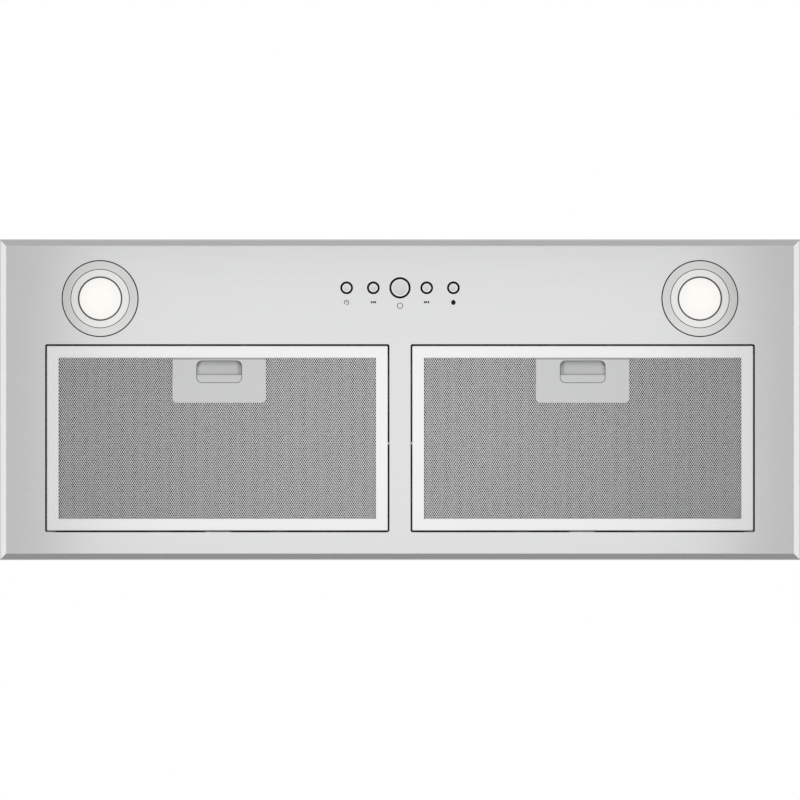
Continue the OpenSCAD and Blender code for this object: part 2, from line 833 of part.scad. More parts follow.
module motor_shaft() {
    x0 = disc_x - hub_len - shaft_r;
    x1 = motor_x1 + shaft_r;
    color([0.6, 0.6, 0.62]) on_face() on_axis() {
        translate([0, 0, x0]) cylinder(r = shaft_r, h = x1 - x0);
        translate([0, 0, x0 - shaft_r / 2])
            cylinder(r1 = shaft_r / 2, r2 = shaft_r, h = shaft_r / 2);
    }
}

// The spiral of the scroll, from the tongue over the front and bottom to the rear
function spiral(inset) = [for (i = [0:scroll_steps])
    let (a = tongue_angle + (360 - tongue_angle) * i / scroll_steps,
        r = scroll_r0 + scroll_growth * i / scroll_steps - inset)
    [axis_y + r * cos(a), axis_z + r * sin(a)]];

module scroll_band() {
    top = axis_z + outlet_rise;
    outer = concat([[outlet_y0, top]], spiral(0), [[outlet_y1, top]]);
    tongue_z = axis_z + (scroll_r0 - scroll_t) * sin(tongue_angle);
    inner = concat([[outlet_y0 + scroll_t, top], [outlet_y0 + scroll_t, tongue_z]],
        spiral(scroll_t), [[outlet_y1 - scroll_t, top]]);
    color(zinc) on_face() across(scroll_t - scroll_w / 2, scroll_w / 2 - scroll_t)
        polygon(concat(outer, backwards(inner)));
}

// A side plate of the scroll, to the side given by -1 or 1, with its outlet flange
module scroll_side(side) {
    top = axis_z + outlet_rise;
    face = side * scroll_w / 2;
    inner = face - side * scroll_t;
    lip = face + side * outlet_flange;
    color(zinc) on_face() difference() {
        union() {
            across(min(face, inner), max(face, inner))
                polygon(concat([[outlet_y0, top]], spiral(0), [[outlet_y1, top]]));
            block([min(inner, lip), collar_y - corner_y - screw_head_r, top - scroll_t],
                [max(inner, lip), collar_y + corner_y + screw_head_r, top]);
        }
        on_axis() cylinder(r = throat_r + bell_r, h = scroll_w + 2 * over, center = true,
            $fn = 96);
        at_collar_screws() cylinder(r = screw_hole_r, h = 12 * tub_t, center = true);
        if (side > 0) at_arms() translate([arm_bolt_r, 0, scroll_w / 2 - 2 * scroll_t])
            cylinder(r = grommet_hole_r, h = 4 * scroll_t);
    }
}

// A bell-mouthed inlet ring, with Z pointing out of the scroll and zero at the plate's face
module inlet_ring() {
    rotate_extrude($fn = 96) {
        translate([throat_r + bell_r - weld, 0]) square([bell_flange, bell_t]);
        translate([throat_r + bell_r, bell_t - bell_r]) intersection() {
            difference() {
                circle(r = bell_r);
                circle(r = bell_r - bell_t);
            }
            translate([-bell_r, 0]) square([bell_r, bell_r]);
        }
    }
}

module inlet_rings() {
    color(steel) on_face() on_axis() for (side = [0, 1])
        mirror([0, 0, side]) translate([0, 0, scroll_w / 2]) inlet_ring();
}

// Places its children on each arm of the motor bracket, with X out along the arm
module at_arms() {
    on_axis() for (a = arm_angles) rotate([0, 0, a + 90]) children();
}

module motor_body() {
    color([0.35, 0.36, 0.38]) on_face() on_axis() difference() {
        union() {
            translate([0, 0, motor_x0]) cylinder(r1 = motor_r - motor_edge, r2 = motor_r,
                h = motor_edge);
            translate([0, 0, motor_x0 + motor_edge])
                cylinder(r = motor_r, h = motor_len - 2 * motor_edge);
            translate([0, 0, motor_x1 - motor_edge]) cylinder(r1 = motor_r,
                r2 = motor_r - motor_edge, h = motor_edge);
            translate([0, 0, motor_x0 + motor_len * 0.35])
                cylinder(r = motor_r + motor_band, h = motor_len * 0.3, $fn = 96);
        }
        translate([0, 0, motor_x0 - over]) cylinder(r = shaft_r + run_play,
            h = motor_len + 2 * over);
    }
}

module motor_bracket() {
    x0 = motor_x1;
    bend = throat_r - bell_r - 2 * arm_t;
    step = throat_r - arm_t;
    color(zinc) on_face() {
        on_axis() translate([0, 0, x0]) ring(arm_hub_r + arm_w / 2, shaft_r + boss_gap, boss_t);
        at_arms() difference() {
            union() {
                rotate([90, 0, 0]) translate([0, 0, -arm_w / 2]) linear_extrude(height = arm_w)
                    polygon([[arm_hub_r, x0], [bend, x0], [step, arm_x], [arm_bolt_r, arm_x],
                        [arm_bolt_r, arm_x + arm_t], [step - arm_t, arm_x + arm_t],
                        [bend - arm_t, x0 + arm_t], [arm_hub_r, x0 + arm_t]]);
                translate([arm_bolt_r, 0, arm_x]) cylinder(r = arm_eye_r, h = arm_t);
            }
            translate([arm_bolt_r, 0, arm_x - over]) cylinder(r = grommet_hole_r,
                h = arm_t + 2 * over);
        }
    }
}

module motor_grommets() {
    color(black_plastic) on_face() at_arms() translate([arm_bolt_r, 0, 0]) {
        translate([0, 0, scroll_w / 2]) cylinder(r = pad_r, h = grommet_h);
        translate([0, 0, scroll_w / 2 - 2 * scroll_t])
            cylinder(r = grommet_hole_r - run_play, h = grommet_h + arm_t + 3 * scroll_t);
        translate([0, 0, scroll_w / 2 - 3 * scroll_t]) cylinder(r = pad_r * 0.7,
            h = 2 * scroll_t);
        translate([0, 0, arm_x + arm_t]) cylinder(r = pad_r * 0.7, h = 2 * scroll_t);
    }
}

// Places its children on the blower box's right wall, with Y along the capacitor
module at_capacitor() {
    translate([box_w / 2 - tub_t - capacitor_r - strap_t, 0, tub_top + capacitor_rise])
        children();
}

module motor_capacitor() {
    color([0.88, 0.88, 0.86]) on_face() at_capacitor() rotate([90, 0, 0]) {
        cylinder(r = capacitor_r, h = capacitor_len, center = true);
        for (x = [-0.4, 0.4]) translate([x * capacitor_r, 0, capacitor_len / 2 - weld])
            cylinder(r = capacitor_r / 6, h = terminal_h + weld);
    }
}

module capacitor_strap() {
    out = capacitor_r + strap_t;
    color(zinc) on_face() difference() {
        at_capacitor() rotate([90, 0, 0]) translate([0, 0, -strap_w / 2])
            linear_extrude(height = strap_w) difference() {
            union() {
                circle(r = out);
                translate([0, -out]) square([out, 2 * out]);
                translate([capacitor_r, -out - strap_ear]) square([strap_t, 2 * (out + strap_ear)]);
            }
            circle(r = capacitor_r + run_play);
            translate([0, -capacitor_r - run_play])
                square([capacitor_r, 2 * (capacitor_r + run_play)]);
        }
        at_strap_screws() cylinder(r = screw_hole_r, h = 6 * tub_t, center = true);
    }
}

// Filters

// Moves its children from a filter's own frame to the side given by -1 or 1
module at_filter(side) {
    translate([side * opening_x, opening_y, face_z]) children();
}

function handle_x(side) = side < 0 ? left_handle_shift : 0;

module filter_frame(side) {
    w = filter_w / 2;
    d = filter_d / 2;
    color(steel) at_filter(side) difference() {
        union() {
            difference() {
                block([-w, -d, 0], [w, d, filter_h]);
                block([frame_t - w, frame_t - d, frame_t],
                    [w - frame_t, d - frame_t, filter_h - frame_t]);
                block([frame_face_w - w, frame_face_w - d, -over],
                    [w - frame_face_w, d - frame_face_w, frame_t + over]);
                block([frame_back_w - w, frame_back_w - d, filter_h - frame_t - over],
                    [w - frame_back_w, d - frame_back_w, filter_h + over]);
            }
            for (x = [-0.5, 0.5]) block(
                [x * tab_span - tab_w / 2, d - frame_t, panel_t + tab_play],
                [x * tab_span + tab_w / 2, d + filter_gap + tab_reach,
                    panel_t + tab_play + tab_t]);
            translate([-side * w, d - bump_back, frame_t]) intersection() {
                cylinder(r = filter_gap - bump_gap, h = 2 * bump_r);
                block([-2 * filter_gap, -bump_r, 0], [2 * filter_gap, bump_r, 2 * bump_r]);
            }
        }
        for (x = [-0.5, 0.5]) block(
            [x * tongue_span - tongue_w / 2 - tongue_play, -d - over, latch_z - tongue_lift],
            [x * tongue_span + tongue_w / 2 + tongue_play, frame_t - d + over / 2,
                latch_z + latch_t + tongue_lift]);
    }
}

// The net of diamonds, cut to the frame's window
module diamonds() {
    nx = ceil(net_w / diamond_x);
    ny = ceil(net_d / diamond_y);
    a = diamond_x / 2 - strand_w * 0.6;
    b = diamond_y / 2 - strand_w * 0.8;
    intersection() {
        square([net_w, net_d], center = true);
        for (i = [-nx:nx], j = [-ny:ny]) if ((i + j) % 2 == 0)
            translate([i * diamond_x / 2, j * diamond_y / 2])
                polygon([[a, 0], [0, b], [-a, 0], [0, -b]]);
    }
}

module mesh_sheet(notched) {
    linear_extrude(height = mesh_t) difference() {
        square([lining_w, lining_d], center = true);
        diamonds();
        if (notched) translate([-notch_w / 2, lining_front - over])
            square([notch_w, cover_rear - lining_front + over + cover_t]);
    }
}

module filter_face_mesh(side) {
    color([0.6, 0.61, 0.62]) at_filter(side) translate([0, 0, frame_t]) mesh_sheet(true);
}

module filter_back_mesh(side) {
    color([0.6, 0.61, 0.62]) at_filter(side) translate([0, 0, core_top]) mesh_sheet(false);
}

// The crimped layers between the two mesh sheets
module filter_core(side) {
    w = lining_w / 2;
    folds = floor(lining_w / fold_pitch);
    low = [for (i = [0:2 * folds]) [i * lining_w / folds / 2 - w,
        i % 2 == 0 ? core_bottom : core_top - fold_t]];
    high = [for (i = [2 * folds:-1:0]) [i * lining_w / folds / 2 - w,
        i % 2 == 0 ? core_bottom + fold_t : core_top]];
    color(aluminium) at_filter(side) difference() {
        along(-lining_d / 2, lining_d / 2) polygon(concat(low, high));
        block([-core_notch_w / 2, lining_front - over, 0],
            [core_notch_w / 2, core_notch_rear, filter_h]);
    }
}

module handle_plate(side) {
    dx = handle_x(side);
    mid = (handle_front + handle_rear) / 2;
    color(steel) at_filter(side) translate([dx, 0, handle_z]) {
        linear_extrude(height = handle_t) difference() {
            union() {
                translate([0, mid]) rounded(handle_w, handle_d, handle_r);
                translate([-handle_w / 2, handle_front]) square([handle_w, handle_d / 2]);
            }
            translate([0, (slot_front + slot_rear) / 2]) rounded(slot_w, slot_d, slot_r);
        }
        for (x = [-1, 1]) translate([x * (slot_w / 2 + handle_r) - dx, handle_front, handle_t])
            block([-handle_r / 2, -frame_face_w / 2, 0], [handle_r / 2, handle_r, latch_t / 3]);
    }
}

// The dished pocket of a latch for a fingertip, deepest at the lip and rounded at its front
// and its ends, with a wall of thickness t round it
module finger_dish(t) {
    w = dish_w - dish_r;
    front = dish_front + dish_r;
    difference() {
        block([-dish_w - t, dish_front - t, 0], [dish_w + t, lip_front + t, dish_r + t]);
        block([-w, front, -over], [w, lip_front, dish_r]);
        translate([0, front, 0]) rotate([0, 90, 0]) cylinder(r = dish_r, h = 2 * w, center = true);
        for (x = [-w, w]) translate([x, front, 0]) {
            rotate([-90, 0, 0]) cylinder(r = dish_r, h = lip_front - front);
            sphere(r = dish_r, $fn = 32);
        }
    }
}

module latch_slider(side) {
    color(zinc) at_filter(side) translate([0, 0, latch_z]) {
        block([-arm_out, lip_front, 0], [arm_out, lip_rear, latch_t]);
        translate([handle_x(side), 0, 0]) finger_dish(latch_t);
        block([tongue_w - arm_out, lip_rear - latch_t, 0],
            [arm_out - tongue_w, lip_rear, finger_wall_h]);
        for (x = [-0.5, 0.5])
            block([x * tongue_span - tongue_w / 2, tongue_tip, 0],
                [x * tongue_span + tongue_w / 2, lip_rear, latch_t]);
    }
}

module latch_cover(side) {
    w = cover_in_w / 2;
    front = lining_front;
    bottom = core_bottom;
    color(zinc) at_filter(side) difference() {
        union() {
            block([-w - cover_t, front, bottom], [w + cover_t, cover_rear, core_top]);
            block([-w - cover_t - cover_flange, front, bottom],
                [w + cover_t + cover_flange, cover_rear + cover_flange, bottom + cover_t]);
        }
        block([-w, front - over, bottom - over], [w, cover_rear - cover_t, core_top - cover_t]);
    }
}

module latch_springs(side) {
    y0 = lip_rear + spring_end;
    steps = spring_turns * 8;
    z = (latch_z + core_top) / 2;
    color([0.5, 0.5, 0.52]) at_filter(side) for (x = [-1, 1]) wire(
        [for (i = [0:steps]) let (a = 45 * i)
            [x * spring_x + spring_r * cos(a), y0 + spring_len * i / steps,
                z + spring_r * sin(a)]],
        spring_wire_r, 6);
}

// Lamps

// Moves its children to the lamp on the side given by -1 or 1, on the face
module at_lamp(side) {
    translate([side * lamp_x, lamp_y, face_z]) children();
}

module lamp_trim(side) {
    color(steel) at_lamp(side) rotate_extrude($fn = 128) polygon([
        [trim_bore_r, trim_step - trim_proud], [trim_line_r - trim_line / 2, trim_step - trim_proud],
        [trim_line_r - trim_line / 2, 2 * trim_step - trim_proud],
        [trim_line_r + trim_line / 2, 2 * trim_step - trim_proud],
        [trim_line_r + trim_line / 2, -trim_proud], [trim_r - trim_edge, -trim_proud],
        [trim_r, trim_edge / 2 - trim_proud], [trim_r, 0], [sleeve_r, 0], [sleeve_r, sleeve_h],
        [can_r + can_play, sleeve_h], [can_r + can_play, lamp_shelf], [lens_seat_r, lamp_shelf],
        [lens_seat_r, lens_seat], [trim_bore_r, lens_seat]]);
}

module lamp_lens(side) {
    edge = trim_step - trim_proud + lens_crown;
    color([1, 0.99, 0.95]) at_lamp(side) rotate_extrude($fn = 96) polygon([
        [0, edge - lens_crown], [lens_r * 0.5, edge - lens_crown * 0.8],
        [lens_r * 0.9, edge - lens_crown * 0.2], [lens_r, edge + lens_crown],
        [lens_r, lens_seat + lens_play], [lens_seat_r - lens_play, lens_seat + lens_play],
        [lens_seat_r - lens_play, lens_seat + lens_play + lens_flange_t],
        [0, lens_seat + lens_play + lens_flange_t]]);
}

module lamp_body(side) {
    solid_z = lamp_shelf + cavity_h;
    fin_pitch = (can_h - solid_z) / (fin_count + fin_share);
    color([0.7, 0.71, 0.72]) at_lamp(side) difference() {
        union() {
            translate([0, 0, lamp_shelf]) cylinder(r = can_r, h = cavity_h + fin_share * fin_pitch);
            translate([0, 0, solid_z]) cylinder(r = fin_in_r, h = can_h - solid_z);
            for (i = [1:fin_count]) translate([0, 0, solid_z + i * fin_pitch])
                cylinder(r = can_r, h = fin_share * fin_pitch);
        }
        translate([0, 0, lamp_shelf - over]) cylinder(r = can_r - can_wall, h = cavity_h + over);
    }
}

module lamp_board(side) {
    color([0.9, 0.9, 0.86]) at_lamp(side)
        translate([0, 0, lamp_shelf + cavity_h - board_t]) {
            cylinder(r = lamp_board_r, h = board_t);
            for (i = [0:7]) rotate([0, 0, 45 * i]) translate([lens_r * 0.6, 0, -board_t / 2])
                cylinder(r = board_t, h = board_t / 2 + weld / 2);
        }
}

// The two leaf springs that clamp the lamp to the panel
module lamp_clips(side) {
    foot = can_r + clip_reach;
    color([0.62, 0.63, 0.64]) at_lamp(side) for (a = [0, 180]) rotate([0, 0, a])
        along(-clip_w / 2, clip_w / 2) polygon([
            [can_r, sleeve_h + play], [can_r + 2 * clip_t, clip_knee],
            [foot - clip_t, panel_t], [foot + 2 * clip_t, panel_t + 2 * clip_t],
            [foot + 2 * clip_t, panel_t + 3 * clip_t], [foot - clip_t, panel_t + 1.5 * clip_t],
            [can_r + 2 * clip_t, clip_knee + 2 * clip_t], [can_r + clip_t, clip_top],
            [can_r, clip_top]]);
}

// Controls

// Moves its children to the middle of button i, on the face
module at_button(i) {
    translate([(i - 2) * button_pitch, button_y, face_z]) children();
}

module button(i) {
    r = button_radii[i];
    retainer_z = panel_t + carrier_t + button_play;
    tip = board_z - switch_h + stem_in;
    color([0.82, 0.83, 0.84]) at_button(i) {
        rotate_extrude($fn = 64) polygon([
            [0, -button_proud], [r - button_edge, -button_proud], [r, button_edge - button_proud],
            [r, retainer_z], [r + retainer_w, retainer_z],
            [r + retainer_w, retainer_z + retainer_t], [stem_r, retainer_z + retainer_t],
            [stem_r, tip], [0, tip]]);
    }
}

module button_carrier() {
    x = carrier_w / 2 - post_inset;
    y = carrier_d / 2 - post_inset;
    color(black_plastic) {
        difference() {
            translate([0, button_y, face_z]) union() {
                translate([0, 0, panel_t]) linear_extrude(height = carrier_t)
                    rounded(carrier_w, carrier_d, post_inset);
                for (px = [-x, x], py = [-y, y]) translate([px, py, panel_t])
                    cylinder(r = post_r, h = carrier_t + board_rise);
                for (i = [0:4]) translate([(i - 2) * button_pitch, 0, -collar_proud])
                    cylinder(r = button_radii[i] + button_play + collar_w,
                        h = collar_proud + panel_t + weld);
            }
            for (i = [0:4]) at_button(i) translate([0, 0, -collar_proud - over])
                cylinder(r = button_radii[i] + button_play,
                    h = collar_proud + panel_t + carrier_t + 2 * over);
        }
    }
}

module control_board() {
    w = carrier_w / 2;
    d = carrier_d / 2;
    color([0.1, 0.35, 0.18]) translate([0, button_y, face_z + board_z]) {
        block([board_margin - w, board_margin - d, 0], [w - board_margin, d - board_margin, board_t]);
        for (i = [-2:2]) translate([(i + 0.5) * button_pitch * 0.9, d * 0.3, board_t - weld])
            block([-switch_w / 2, -switch_w / 2, 0], [switch_w / 2, switch_w / 4, switch_h / 2]);
        for (side = [-1, 1]) translate([side * connector_x, connector_y, board_t - weld])
            block([-connector_w / 2, -connector_d / 2, 0],
                [connector_w / 2, connector_d / 2, connector_h + weld]);
    }
}

module tact_switches() {
    color([0.2, 0.2, 0.22]) for (i = [0:4]) at_button(i)
        translate([0, 0, board_z - switch_h]) difference() {
            block([-switch_w / 2, -switch_w / 2, 0], [switch_w / 2, switch_w / 2, switch_h]);
            translate([0, 0, -over]) cylinder(r = switch_bore_r, h = switch_bore + over);
        }
}

module control_cover() {
    w = control_cover_w / 2;
    d = control_cover_d / 2;
    color(zinc) difference() {
        control_cover_sheet(w, d);
        on_face() at_cover_studs() cylinder(r = stud_r + play, h = stud_h);
    }
}

// The control cover's folded sheet of half-width w and half-depth d, without its stud holes
module control_cover_sheet(w, d) {
    translate([0, button_y, face_z]) difference() {
        union() {
            block([-w, -d, panel_t], [w, d, panel_t + cover_h]);
            block([-w - control_flange, -d, panel_t], [w + control_flange, d, panel_t + tub_t]);
        }
        block([tub_t - w, tub_t - d, panel_t - over], [w - tub_t, d - tub_t,
            panel_t + cover_h - tub_t]);
        for (side = [-1, 1])
            translate([side * connector_x, connector_y, panel_t + cover_h - tub_t - over])
                cylinder(r = lead_r + play, h = tub_t + 2 * over);
    }
}

// Wiring

// Moves its children to the underside of the housing's top, over the wiring box
module at_wiring_box() {
    translate([wiring_x, wiring_y, face_z + tub_top - tub_t]) children();
}

module wiring_box() {
    w = wiring_w / 2;
    d = wiring_d / 2;
    color(zinc) at_wiring_box() difference() {
        union() {
            block([-w, -d, -wiring_h], [w, d, 0]);
            block([-w - wiring_lip, -d, -tub_t], [w + wiring_lip, d, 0]);
        }
        block([tub_t - w, tub_t - d, -wiring_h - over], [w - tub_t, d - tub_t, over]);
        for (side = [-1, 1]) {
            translate([-w - over, side * lead_gap, -wiring_h / 2])
                rotate([0, 90, 0]) cylinder(r = lead_r + play, h = tub_t + 2 * over);
            translate([side * (w + wiring_lip / 2), 0, 0])
                cylinder(r = screw_hole_r, h = 4 * tub_t, center = true);
        }
        translate([0, d, -wiring_h * 0.8]) rotate([90, 0, 0])
            cylinder(r = screw_hole_r, h = 4 * tub_t, center = true);
    }
}

module wiring_box_cover() {
    w = wiring_w / 2;
    d = wiring_d / 2;
    color(steel) at_wiring_box() difference() {
        union() {
            block([-w, -d, -wiring_h - tub_t], [w, d, -wiring_h]);
            block([-w, d, -wiring_h - tub_t], [w, d + tub_t, -wiring_h * 0.6]);
        }
        translate([0, d, -wiring_h * 0.8]) rotate([90, 0, 0])
            cylinder(r = screw_hole_r, h = 4 * tub_t, center = true);
    }
}

module led_driver() {
    w = driver_w / 2;
    d = driver_d / 2;
    top = tub_top - tub_t;
    color([0.9, 0.9, 0.9]) translate([driver_x, wiring_y, face_z + top]) difference() {
        union() {
            translate([0, 0, -driver_h]) linear_extrude(height = driver_h)
                rounded(2 * w, 2 * d, driver_ear / 3);
            for (side = [-1, 1]) block([side * w - driver_ear, -d / 2, -driver_h / 8],
                [side * w + driver_ear, d / 2, 0]);
        }
        for (side = [-1, 1]) translate([side * (w + driver_ear / 2), 0, 0])
            cylinder(r = screw_hole_r, h = driver_h / 2, center = true);
    }
}

// A lead of radius r that leaves one end along out, follows its route's points over the
// face, and comes to the other end against back
module lead(first, out, route, last, back, r) {
    wire(softened(concat([first, first + lead_out * out], route,
        [last + lead_out * back, last])), r);
}

function driver_end(side) = [driver_x + driver_w / 2, wiring_y + side * lead_gap,
    tub_top - tub_t - driver_h / 2];
function wiring_end(side) = [wiring_x - wiring_w / 2 - tub_t, wiring_y + side * lead_gap,
    tub_top - tub_t - wiring_h / 2];
function connector_end(side) = [side * connector_x, button_y + connector_y, connector_top];
function motor_entry(i) = [motor_x1,
    axis_y + lead_entry_r * cos(lead_entry_angles[i]),
    axis_z + lead_entry_r * sin(lead_entry_angles[i])];

module lamp_leads() {
    color([0.2, 0.2, 0.22]) on_face() {
        lead([-lamp_x, lamp_y, can_h], up, left_lamp_route,
            [driver_x + lead_gap, wiring_y, tub_top - tub_t - driver_h], -up, lamp_lead_r);
        lead([lamp_x, lamp_y, can_h], up, right_lamp_route, driver_end(-1), right,
            lamp_lead_r);
    }
}

module motor_lead() {
    terminal = [box_w / 2 - tub_t - strap_t - capacitor_r - capacitor_r * 0.4,
        -capacitor_len / 2 - terminal_h, tub_top + capacitor_rise];
    color([0.2, 0.2, 0.22]) on_face() {
        lead(wiring_end(1), -right, motor_route, motor_entry(0), right, lead_r);
        lead(terminal, -rear, capacitor_route, motor_entry(1), right, lamp_lead_r);
    }
}

module control_lead() {
    color([0.2, 0.2, 0.22]) on_face() {
        lead(connector_end(1), up, wiring_route, wiring_end(-1), -right, lead_r);
        lead(connector_end(-1), up, driver_route, driver_end(1), right, lamp_lead_r);
    }
}

base_panel();
housing_shell();
panel_nuts();
blower_box();
duct_collar();
sheet_screws();
damper_flap(-1);  // left_damper_flap
damper_flap(1);  // right_damper_flap
blower_wheel();
motor_shaft();
scroll_side(-1);  // scroll_side_left
scroll_side(1);  // scroll_side_right
scroll_band();
inlet_rings();
motor_body();
motor_bracket();
motor_grommets();
motor_capacitor();
capacitor_strap();
filter_frame(-1);  // left_filter_frame
filter_face_mesh(-1);  // left_filter_face_mesh
filter_core(-1);  // left_filter_core
filter_back_mesh(-1);  // left_filter_back_mesh
handle_plate(-1);  // left_handle_plate
latch_slider(-1);  // left_latch_slider
latch_cover(-1);  // left_latch_cover
latch_springs(-1);  // left_latch_springs
filter_frame(1);  // right_filter_frame
filter_face_mesh(1);  // right_filter_face_mesh
filter_core(1);  // right_filter_core
filter_back_mesh(1);  // right_filter_back_mesh
handle_plate(1);  // right_handle_plate
latch_slider(1);  // right_latch_slider
latch_cover(1);  // right_latch_cover
latch_springs(1);  // right_latch_springs
button(0);  // timer_button
button(1);  // slower_button
button(2);  // power_button
button(3);  // faster_button
button(4);  // light_button
button_carrier();
control_board();
tact_switches();
control_cover();
lamp_trim(-1);  // left_lamp_trim
lamp_lens(-1);  // left_lamp_lens
lamp_body(-1);  // left_lamp_body
lamp_board(-1);  // left_lamp_board
lamp_clips(-1);  // left_lamp_clips
lamp_trim(1);  // right_lamp_trim
lamp_lens(1);  // right_lamp_lens
lamp_body(1);  // right_lamp_body
lamp_board(1);  // right_lamp_board
lamp_clips(1);  // right_lamp_clips
wiring_box();
wiring_box_cover();
led_driver();
lamp_leads();
motor_lead();
control_lead();
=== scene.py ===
"""Looks of a range hood insert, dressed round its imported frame.

The insert hangs in a cabinet, so the camera looks straight up at the bevelled panel. All
lengths are in metres. +X is to the right, -Y is the front with the controls, +Z is up.
"""

import logging
import math
from collections.abc import Callable, Iterable
from dataclasses import dataclass, field
from enum import Enum

import bpy
from mathutils import Matrix, Vector


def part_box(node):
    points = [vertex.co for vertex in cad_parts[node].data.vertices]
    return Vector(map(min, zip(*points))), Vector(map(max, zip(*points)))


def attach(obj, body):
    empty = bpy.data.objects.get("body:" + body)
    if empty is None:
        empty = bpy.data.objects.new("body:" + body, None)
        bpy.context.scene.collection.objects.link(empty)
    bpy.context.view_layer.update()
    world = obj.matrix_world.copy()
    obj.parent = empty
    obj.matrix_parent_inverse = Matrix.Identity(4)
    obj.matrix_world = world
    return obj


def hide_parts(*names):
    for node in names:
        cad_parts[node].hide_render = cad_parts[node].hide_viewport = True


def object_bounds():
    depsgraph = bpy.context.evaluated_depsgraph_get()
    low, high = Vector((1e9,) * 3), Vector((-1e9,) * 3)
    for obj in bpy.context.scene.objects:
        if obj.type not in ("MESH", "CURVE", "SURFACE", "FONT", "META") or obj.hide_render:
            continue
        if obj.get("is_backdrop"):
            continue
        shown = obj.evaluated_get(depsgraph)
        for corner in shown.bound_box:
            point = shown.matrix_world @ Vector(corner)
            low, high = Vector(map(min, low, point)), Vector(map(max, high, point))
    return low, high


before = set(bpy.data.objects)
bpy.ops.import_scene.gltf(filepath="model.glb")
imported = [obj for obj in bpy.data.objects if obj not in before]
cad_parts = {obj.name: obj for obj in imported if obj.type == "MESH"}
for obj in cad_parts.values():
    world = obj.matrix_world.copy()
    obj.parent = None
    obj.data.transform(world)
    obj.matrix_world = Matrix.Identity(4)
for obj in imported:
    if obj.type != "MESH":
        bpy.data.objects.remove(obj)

LOG = logging.getLogger("range_hood")

MM = 0.001
WELD = 0.002 * MM  # Points closer than this are welded into one
TOUCH = 0.01 * MM  # Places closer than this are the same place
NEAR = 0.1 * MM  # Places closer than this lie beside each other

Colour = tuple[float, float, float]
Span = tuple[float, float]
Object = bpy.types.Object
Number = "Value | float"


class Side(Enum):
    """The two sides that filters and lamps lie on, as signs of X."""

    LEFT = -1
    RIGHT = 1

    @property
    def word(self) -> str:
        """The word that starts the names of this side's nodes."""
        return self.name.lower()


class Axis(Enum):
    """Directions that a grain can run along."""

    X = 0
    Y = 1
    Z = 2

    def stretch(self, share: float) -> tuple[float, ...]:
        """A factor for each axis: the share for this one and 1 for the others."""
        return tuple(share if axis is self else 1.0 for axis in Axis)


class Pick(Enum):
    """Kinds of mesh element that are chosen by their place."""

    FACE = "FACE"
    EDGE = "EDGE"


# Shader maths


class Value:
    """A socket of a shader tree that takes part in Python sums.

    Attributes:
        tree: The tree that the socket's node belongs to.
        socket: The output socket.
    """

    def __init__(self, tree: "ShaderTree", socket: bpy.types.NodeSocket) -> None:
        """Wraps a socket.

        Args:
            tree: The tree that the socket's node belongs to.
            socket: An output socket.
        """
        self.tree = tree
        self.socket = socket

    def _maths(self, operation: str, first: Number, second: Number = 0.0) -> "Value":
        """Adds a Math node.

        Args:
            operation: The node's operation.
            first: Its first operand.
            second: Its second operand.

        Returns:
            The node's result.
        """
        return self.tree.add("ShaderNodeMath", {"operation": operation}, {0: first, 1: second})

    def __add__(self, other: Number) -> "Value":
        """The sum of two values."""
        return self._maths("ADD", self, other)

    def __radd__(self, other: Number) -> "Value":
        """The sum of a number and a value."""
        return self._maths("ADD", other, self)

    def __sub__(self, other: Number) -> "Value":
        """The difference of two values."""
        return self._maths("SUBTRACT", self, other)

    def __rsub__(self, other: Number) -> "Value":
        """A number less a value."""
        return self._maths("SUBTRACT", other, self)

    def __mul__(self, other: Number) -> "Value":
        """The product of two values."""
        return self._maths("MULTIPLY", self, other)

    def __rmul__(self, other: Number) -> "Value":
        """The product of a number and a value."""
        return self._maths("MULTIPLY", other, self)

    def __truediv__(self, other: Number) -> "Value":
        """The quotient of two values."""
        return self._maths("DIVIDE", self, other)

    def __pow__(self, other: Number) -> "Value":
        """A value raised to a power."""
        return self._maths("POWER", self, other)

    def sine(self) -> "Value":
        """The sine of a value in radians."""
        return self._maths("SINE", self)

    def size(self) -> "Value":
        """A value without its sign."""
        return self._maths("ABSOLUTE", self)

    def angle_with(self, other: Number) -> "Value":
        """The angle of the point whose height is this value and whose width is the other."""
        return self._maths("ARCTAN2", self, other)

    def between(self, low: float, high: float) -> "Value":
        """A ramp of this value: 0 at low, 1 at high, and held past them."""
        return self.tree.add("ShaderNodeMapRange", {"clamp": True},
                             {"Value": self, "From Min": low, "From Max": high})


